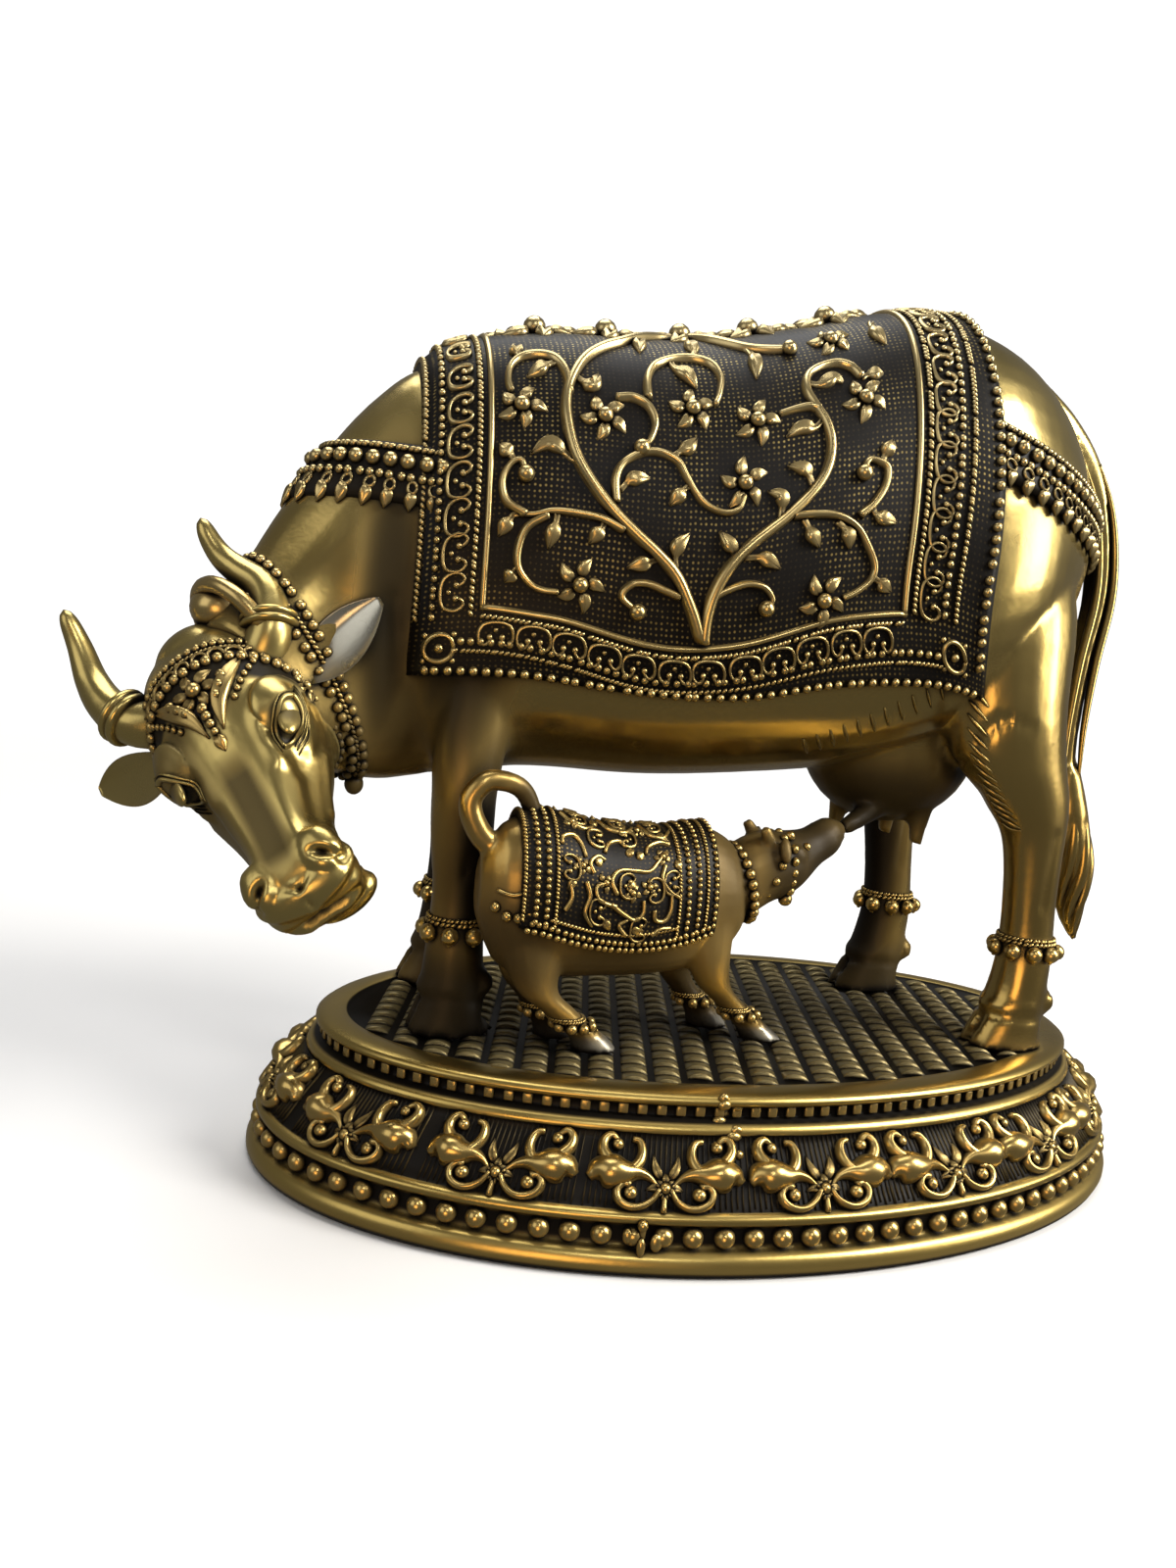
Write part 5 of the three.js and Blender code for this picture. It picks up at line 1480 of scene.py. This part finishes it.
calf = Pile()
tube_of(calf, calf_barrel, calf_point, 32, 30)
for rows in calf_legs.values():
    limb(calf, rows, 16, 26)
nose = muzzle_tip - reach * 2
egg(calf, muzzle_tip - reach * 3.0, (2.9, 2.8, 3.0), 16, 10)
head_path = [Vector(p) for p in [(-5, -12.4, 24), (-1, -12, 27), (4, -11.2, 28.5), (9, -10.4, 30.8)]]
head_path += [nose, muzzle_tip]
head_sizes = [(0, 5.2), (0.25, 5.6), (0.45, 5.2), (0.7, 3.3), (0.86, 3.0), (1, 1.6)]
cord(calf, head_path, lambda t: through(head_sizes, t)[0], 24, 30)
for side in (-1, 1):
    egg(calf, (4.2, -11.2 + side * 3.7, 30.0), (2.0, 1.5, 1.8), 12, 8)
    cord(calf, [Vector((0, -12 + side * 2.6, 31)), Vector((-0.8, -12 + side * 3, 32.6)),
                Vector((-1.8, -12 + side * 3.4, 34.2))], (1.4, 0.8), 10, 6)
tail_loop = [(-43, -17.8, 29), (-46.6, -17.8, 32), (-48.4, -17.8, 36.2), (-46.6, -17.8, 39.2),
             (-44.3, -17.6, 39.6), (-41.6, -17.5, 38.9), (-40, -17.4, 37.2), (-38.4, -17.2, 33.5)]
cord(calf, [Vector(p) for p in tail_loop], (1.9, 1.3), 16, 40)
for side in (-1, 1):
    ear_turn = Matrix.Rotation(radians(25 * side), 3, "X")
    egg(calf, (1.2, -11.8 + side * 5.6, 31.2), (1.0, 0.8, 2.3), 12, 8, ear_turn)
calf_marks = [fold([(4.6, -14.6, 31.0), (6.2, -13.8, 30.8)], 0.6, -0.5),
              fold([(12.6, -11.9, 32.6), (13.8, -11.2, 32.4)], 0.45, -0.45),
              fold([(14.9, -10.6, 33.0), (13.2, -11.8, 31.2), (11.6, -12.2, 30.0)], 0.35, -0.35)]
for rows in calf_legs.values():
    x, y = rows[-1][:2]
    calf_marks += [fold([(x + 3.6, y, 0), (x + 2.6, y, 1.6), (x + 0.8, y, 3.2)], 0.35, -0.5),
                   fold([(x - 2, y - 2.2, 2.6), (x + 1, y - 2.2, 3.4)], 0.3, -0.25)]
young = clay(calf, 0.44, 3)
press(young, calf_marks)
# Painted shade with black patina: dark patches on the calf's head and neck under the udder, under her belly
# and on her legs.
calf_shade_and_patina = [
    # centre, radii, strength
    ((8, -11, 29), (12, 8, 9), 0.84), ((3, -14, 27), (7, 7, 9), 0.8), ((-2, -12, 24), (5, 8, 9), 0.5),
    ((-24, -8, 12), (22, 8, 7), 0.7), ((-27, -20, 14), (15, 9, 7), 0.66),
    ((-41, -20, 17), (8, 8, 10), 0.66), ((-8, -14, 26), (7, 9, 12), 0.62),
    ((-36, -12, 6), (9, 5, 12), 0.7), ((-10, -8, 6), (9, 4, 12), 0.7),
    ((-40, -17.5, 37), (4, 3, 4), 0.7),
]
finished("calf_body", young, "calf", "calf", black_at=lambda spot: shade_and_patina_from(spot, calf_shade_and_patina),
         silver_at=lambda point: 0.8 * clamp((3.0 - point.co.z) / 1.2))

# %% Calf's cloth
calf_strokes = [
    [(0.08, 0.42), (0.09, 0.36), (0.14, 0.33), (0.18, 0.38), (0.2, 0.47)],
    [(0.3, 0.4), (0.33, 0.32), (0.38, 0.29), (0.41, 0.32)],
    [(0.36, 0.66), (0.33, 0.58), (0.37, 0.51), (0.45, 0.5), (0.53, 0.5), (0.58, 0.44), (0.62, 0.38)],
    [(0.62, 0.46), (0.6, 0.55), (0.64, 0.63), (0.7, 0.68)],
    [(0.36, 0.73), (0.27, 0.71), (0.25, 0.64), (0.3, 0.6)],
    [(0.33, 0.72), (0.4, 0.77), (0.46, 0.8), (0.5, 0.76), (0.5, 0.68)],
    [(0.2, 0.62), (0.22, 0.7), (0.2, 0.8), (0.24, 0.87)],
    [(0.56, 0.74), (0.57, 0.8), (0.62, 0.81), (0.65, 0.75), (0.65, 0.65)],
    [(0.1, 0.1), (0.14, 0.2), (0.2, 0.24), (0.26, 0.2)],
    [(0.3, 0.06), (0.34, 0.16), (0.42, 0.2), (0.48, 0.14)],
    [(0.52, 0.08), (0.56, 0.2), (0.63, 0.24), (0.68, 0.16)], [(0.1, 0.82), (0.13, 0.74), (0.12, 0.66)],
    [(0.42, 0.9), (0.38, 0.84), (0.42, 0.8)], [(0.56, 0.9), (0.6, 0.86), (0.66, 0.86)],
    [(0.24, 0.56), (0.22, 0.5), (0.26, 0.44), (0.3, 0.46)],
    [(0.66, 0.3), (0.6, 0.28), (0.54, 0.32), (0.52, 0.38)],
]
calf_balls = [(0.18, 0.53), (0.61, 0.4), (0.53, 0.6), (0.44, 0.64), (0.3, 0.6), (0.15, 0.2), (0.5, 0.16)]
calf_leaves = [[(0.42, 0.4), (0.46, 0.33)], [(0.28, 0.5), (0.24, 0.44)], [(0.5, 0.42), (0.47, 0.36)],
               [(0.14, 0.62), (0.11, 0.7)], [(0.46, 0.58), (0.4, 0.6)], [(0.7, 0.5), (0.68, 0.42)],
               [(0.3, 0.82), (0.34, 0.88)], [(0.44, 0.86), (0.52, 0.87)], [(0.25, 0.16), (0.3, 0.1)],
               [(0.6, 0.2), (0.66, 0.26)], [(0.4, 0.14), (0.44, 0.2)]]
calf_curls = [(0.26, 0.3), (0.13, 0.56), (0.26, 0.78), (0.44, 0.26), (0.41, 0.6), (0.57, 0.62),
              (0.65, 0.58), (0.19, 0.13), (0.4, 0.08), (0.6, 0.1), (0.48, 0.86)]
calf_wide, calf_down = 30.0, 24.0
calf_sheet = woven_sheet(
    "calf_sheet", lambda u, v, lift: calf_cloth_point(lerp(-0.1, 0.93, u), 2 * v - 1, lift), 44, 64, 1.2,
    calf_wide, calf_down)
finished("calf_cloth", calf_sheet, "ground", "calf")
calf_dress = Pile()
for side in (-1, 1):
    def place(across, down, lift, side=side):
        return calf_cloth_point(across, side * down, lift)
    for u in (-0.09, 0.06, 0.7, 0.86):
        rope(calf_dress, place, [(u, 0), (u, 0.95)], 0.5)
    for u in (-0.035, 0.015, 0.75, 0.81, 0.91):
        bead_row(calf_dress, place, [(u, 0), (u, 0.96)], 1.0, 0.45)
    rope(calf_dress, place, [(0.04, 0.9), (0.4, 0.9), (0.7, 0.87)], 0.5)
    bead_row(calf_dress, place, [(-0.06, 0.95), (0.4, 0.955), (0.9, 0.94)], 1.0, 0.45)
    bead_row(calf_dress, place, [(-0.08, 1.0), (0.4, 1.0), (0.92, 0.99)], 1.1, 0.5)
    for path in calf_strokes:
        laid(calf_dress, place, path, (0.42, 0.3), 0.6, 6, 7 * len(path))
    for u, v in calf_balls:
        flower(calf_dress, patch(place, u, v, calf_wide, calf_down), 1.15, u * 9)
    for path in calf_leaves:
        leaf(calf_dress, place, path, 0.6, 0.6)
    for k, (u, v) in enumerate(calf_curls):
        scroll(calf_dress, patch(place, u, v, calf_wide, calf_down), 1.9, (-1) ** k)
for rows in calf_legs.values():
    anklet(calf_dress, rows, rows[-3][2] + 0.3, 0.4, 0.78)
for side in (-1, 1):
    swag = [(-38.9, side * 1.22), (-40.6, side * 1.4), (-42.6, side * 1.48), (-44.6, side * 1.44)]
    rib(calf_dress, calf_point, swag, 0.35, 20)
    for k in range(5):
        x, angle = along(swag, k / 4)
        egg(calf_dress, calf_point(x, angle + side * 0.3, 0.2), 0.75, 10, 6)
for k in range(14):
    angle = 2 * pi * k / 14
    middle = (0.6 + 1.8 * cos(angle), -11.9 + 5.6 * sin(angle), 27.6 + 5.5 * cos(angle))
    egg(calf_dress, middle, 0.7, 8, 5)
for x, y, z, size in [(3.2, -14.2, 33.0, 0.85), (3.4, -15.8, 31.2, 0.8), (3.4, -16.6, 29.4, 0.75),
                      (3.6, -16.4, 27.6, 0.7), (3.8, -15.8, 26.0, 0.7), (4.0, -14.8, 24.4, 0.8),
                      (4.0, -13.6, 22.8, 1.15), (6.2, -14.4, 31.4, 0.7)]:
    egg(calf_dress, (x, y, z), size, 10, 6)
for k in range(22):
    angle = 2 * pi * k / 22
    middle = Vector((-3.6 + 1.6 * cos(angle), -12.3 + 5.5 * sin(angle), 25 - 5.7 * cos(angle)))
    egg(calf_dress, middle, 0.85, 10, 6)
finished("calf_dress", calf_dress.mesh("calf_dress"), "relief", "calf")

# %% [markdown]
# ## The plinth
# The plinth is one profile, turned round an oval. Its bands carry a row of beads, a frieze of scrolls
# and leaves on a striated ground, and a row of dentils under the rim. The top is covered with little
# arched tiles in leaning columns.

# %% Plinth levels
foot_x, foot_y = 75.0, 45.8
frieze_low, frieze_high = 8.5, 16.7
bead_inset, frieze_inset, rim_inset = 1.1, 4.9, 9.8


def oval(angle, depth, z):
    """A place on an oval line, depth inwards of the widest one."""
    return Vector(((foot_x - depth) * cos(angle), (foot_y - depth) * sin(angle), z))


def evenly(depth, pitch):
    """Angles that divide an oval line into equal lengths, near enough to one pitch."""
    fine = 1440
    lengths = lengths_of([oval(2 * pi * k / fine, depth, 0) for k in range(fine + 1)])
    count = 2 * round(lengths[-1] / pitch / 2)
    return [2 * pi * float(np.searchsorted(lengths, lengths[-1] * i / count)) / fine for i in range(count)]


frieze_rows = [(8.7, 2.35), (10.0, 3.3), (11.8, 4.5), (13.8, 6.1), (15.6, 7.7), (16.55, 8.45)]
profile = [
    (1.2, 0.0), (0.35, 0.4), (0, 1.2), (0, 2.0), (0.3, 2.8), (0.8, 3.4), (1.5, 3.55), (2.1, 3.8),
    (2.2, 4.4), (2.2, 6.4), (2.0, 6.9), (1.35, 7.15), (1.1, 7.5), (1.1, 8.0), (1.35, 8.4), (2.0, 8.6),
    *[(depth, z) for z, depth in frieze_rows], (8.35, 16.65), (8.1, 16.9), (8.3, 17.35), (8.5, 17.85),
    (9.4, 18.1), (10.7, 18.3), (10.9, 18.6), (10.9, 19.9), (10.6, 20.2), (9.7, 20.3), (9.25, 20.7),
    (9.3, 21.2), (9.9, 21.65), (11, 21.9), (12.4, 22.0), (13.7, 21.95), (14.0, 21.8), (14.05, 21.4),
]
turned = bmesh.new()
rings = 220
loops = [[turned.verts.new(oval(2 * pi * k / rings, depth, z)) for k in range(rings)]
         for depth, z in profile]
for low, high in zip(loops, loops[1:]):
    for k in range(rings):
        turned.faces.new((low[k], low[(k + 1) % rings], high[(k + 1) % rings], high[k]))
for end in (0, -1):
    loop, middle = loops[end], turned.verts.new((0, 0, profile[end][1]))
    for k in range(rings):
        turned.faces.new((loop[k], loop[(k + 1) % rings], middle))
plinth_mesh = bpy.data.meshes.new("plinth")
turned.to_mesh(plinth_mesh)
turned.free()


dark_bands = [(3.9, 6.9), (8.65, 16.6), (17.95, 20.1)]
mat_x, mat_y, mat_edge = 61.1, 31.9, 21.85


def plinth_black(spot):
    """Black stays in the two hollows, in the frieze's ground and on the ground of the mat."""
    in_band = any(low < spot.z < high for low, high in dark_bands)
    on_top = spot.z < mat_edge and (spot.x / mat_x) ** 2 + (spot.y / mat_y) ** 2 < 1
    return 0.96 if in_band or on_top else 0.0


finished("plinth_body", plinth_mesh, "plinth", "plinth", raised=False, black_at=plinth_black)

# %% Beads and dentils
plinth_beads = Pile()
for angle in evenly(bead_inset, 4.2):
    egg(plinth_beads, oval(angle, 1.9, 5.35), 1.45, 14, 10)
finished("plinth_beads", plinth_beads.mesh("beads"), "relief", "plinth", raised=False)
block = bmesh.new()
bmesh.ops.create_cube(block, size=2)
bmesh.ops.bevel(block, geom=block.edges[:], offset=0.35, segments=2, profile=0.5, affect="EDGES",
                material=-1)
block_points, block_faces = pattern_of(block)
dentils = Pile()
for angle in evenly(rim_inset, 2.7):
    foot = oval(angle, 10.75, 19.35)
    along_rim = (oval(angle + 0.01, 10.9, 0) - oval(angle, 10.9, 0)).normalized()
    turn = np.array(Matrix((along_rim, along_rim.cross(Vector((0, 0, 1))), Vector((0, 0, 1)))).transposed())
    dentils.add((block_points * (0.72, 0.75, 0.85)) @ turn.T + np.array(foot), block_faces)
finished("plinth_dentils", dentils.mesh("dentils"), "relief", "plinth", raised=False)

# %% [markdown]
# The frieze repeats one motif, mirrored to both sides of a fleur: a lower scroll, a fat leaf whose stem
# hooks down from the rim, and a curl that ends in a ball.

# %% Frieze
motif_pitch, stria_pitch, striae_each_way = 21, 0.725, 14


def frieze_place(angle, height, lift):
    z = lerp(frieze_low, frieze_high, clamp(height, -0.05, 1.05))
    depth = through(frieze_rows, z)[0]
    here = oval(angle, depth, z)
    out = Vector((cos(angle) / foot_x, sin(angle) / foot_y, 0)).normalized()
    return here + (out * 0.8 + Vector((0, 0, 0.6))) * lift


def motif(pile, place, flip):
    """x runs along the frieze in mm, y up it."""
    def at(path):
        return [(flip * x, y) for x, y in path]
    low_scroll = [(0.7, 2.3), (1.5, 1.2), (2.9, 0.45), (4.4, 0.4), (5.7, 1.0), (6.1, 2.0), (5.4, 2.8),
                  (4.5, 2.6)]
    fat_leaf = [(1.0, 2.7), (2.2, 3.6), (3.8, 4.0), (5.4, 3.9), (7.2, 4.0), (9.0, 3.9), (10.0, 3.2)]
    hooked_stem = [(4.4, 4.2), (3.6, 5.0), (3.3, 6.1), (3.8, 7.1), (4.8, 7.3)]
    curl = [(7.6, 5.0), (8.6, 6.0), (8.7, 7.0), (7.8, 7.6), (6.9, 7.1)]
    laid(pile, place, at(low_scroll), (0.45, 0.75), 1.5, 8, 26)
    egg(pile, place(flip * 4.4, 1.8, 0.5), 1.0, 12, 8)
    laid(pile, place, at(fat_leaf), lambda t: 0.4 + 2.0 * sin(pi * clamp(t, 0.03, 0.97) ** 1.9),
         lambda t: 0.9 + 1.9 * sin(pi * clamp(t, 0.03, 0.97) ** 1.7), 14, 26)
    laid(pile, place, at(hooked_stem), (1.0, 0.45), (1.9, 1.3), 8, 16)
    laid(pile, place, at(curl), (1.1, 0.5), (2.0, 1.4), 8, 16)
    egg(pile, place(flip * 6.8, 6.7, 0.55), 0.85, 12, 8)
    leaf(pile, place, at([(0.4, 3.2), (1.4, 4.6), (1.7, 6.0)]), 0.6, 1.2)
    leaf(pile, place, at([(0.3, 2.3), (1.4, 2.5), (2.5, 2.2)]), 0.55, 1.2)


frieze, striae = Pile(), Pile()
fleurs = evenly(frieze_inset, motif_pitch)
for i, angle in enumerate(fleurs):
    after = fleurs[i + 1] if i + 1 < len(fleurs) else 2 * pi
    share = (after - angle) / motif_pitch

    def near(x, y, lift, angle=angle, share=share):
        return frieze_place(angle + x * share, y / (frieze_high - frieze_low), lift)
    for flip in (1, -1):
        motif(frieze, near, flip)
    for k in range(6):
        turn = pi / 6 + k * pi / 3
        leaf(frieze, near, [(far * cos(turn), 2.4 + far * sin(turn)) for far in (0.3, 1.0, 1.8)], 0.5, 1.4)
    egg(frieze, near(0, 2.4, 0.7), 0.8, 12, 8)
    laid(frieze, near, [(0, 1.4), (0, 0.5), (0, -0.3)], 0.5, 1.2, 8, 8)
    for k in range(-striae_each_way, striae_each_way + 1):
        x = k * stria_pitch
        laid(striae, near, [(x, 0.2 + 0.3 * (k % 2)), (x, 4.0), (x, 8.0)], 0.17, 0.3, 4, 5)
finished("plinth_frieze", frieze.mesh("frieze"), "relief", "plinth", raised=False)
finished("plinth_striae", striae.mesh("striae"), "plinth", "plinth", raised=False,
         black_at=lambda spot: 0.62)

# %% Mat of arched tiles
lean = Vector((0.29, 0.957, 0)).normalized()
cross_lean = Vector((lean.y, -lean.x, 0))
tile_apart, tile_long, tile_wide, tile_high = 4.8, 3.3, 3.9, 0.95
arch, crown = double_grid(8, 3, 1.0)
for v in arch.verts:
    rise = tile_high * (1 - abs(v.co.x) ** 2.4) * lerp(1.0, 0.42, (v.co.y + 1) / 2)
    v.co = (v.co.x * tile_wide / 2, v.co.y * tile_long / 2 * 0.96, rise if v in crown else -0.35)
arch_points, arch_faces = pattern_of(arch)
tiles = Pile()
mat_inset, mat_level = 14.2, 21.35
edge_x, edge_y = foot_x - mat_inset, foot_y - mat_inset
turn = np.array(Matrix((cross_lean, lean, Vector((0, 0, 1)))).transposed())
columns_each_way, rows_each_way = 13, 16
for column in range(-columns_each_way, columns_each_way + 1):
    for row in range(-rows_each_way, rows_each_way + 1):
        spot = cross_lean * (column * tile_apart) + lean * (row * tile_long)
        if (spot.x / edge_x) ** 2 + (spot.y / edge_y) ** 2 < 0.955:
            tiles.add(arch_points @ turn.T + np.array((spot.x, spot.y, mat_level)), arch_faces)


def mat_black(spot):
    """The tiles are darkest around the feet, in the middle of the mat."""
    return 0.08 + 0.5 * exp(-((spot.x / 46) ** 2 + ((spot.y - 2) / 20) ** 2) ** 2)


finished("plinth_mat", tiles.mesh("mat"), "mat", "plinth", raised=False, black_at=mat_black)

# %% [markdown]
# The two halves of the mould met at the front. A line of flash was left on the rim and the frieze, and a
# few drops of metal on the row of beads.

# %% Mould seam
seam = Pile()
for depth, z, size in [(9.4, 21.6, 0.8), (9.2, 20.7, 1.0), (10.2, 20.0, 0.9), (10.6, 19.0, 1.1),
                       (9.8, 18.1, 1.1), (8.4, 17.4, 1.0), (8.0, 16.6, 1.2), (7.2, 15.6, 1.1),
                       (6.6, 14.6, 0.8)]:
    egg(seam, oval(radians(-100.7 + 1.4 * sin(z * 2.3)), depth + 0.25, z), (size, 0.6, 0.75), 10, 6)
drops = [(0, 0.5, 7.4, (0.7, 0.7, 0.8)), (0, 1.3, 6.2, (0.5, 0.7, 1.5)), (0, 0.6, 4.3, (0.6, 0.6, 1.4)),
         (1.6, 0.9, 4.9, (0.9, 0.6, 1.3)), (-1.5, 1.0, 5.6, (0.7, 0.6, 1.1))]
for shift, depth, z, radii in drops:
    egg(seam, oval(radians(-110.3 + shift), depth, z), radii, 10, 6)
finished("mould_seam", seam.mesh("seam"), "relief", "plinth", raised=False)
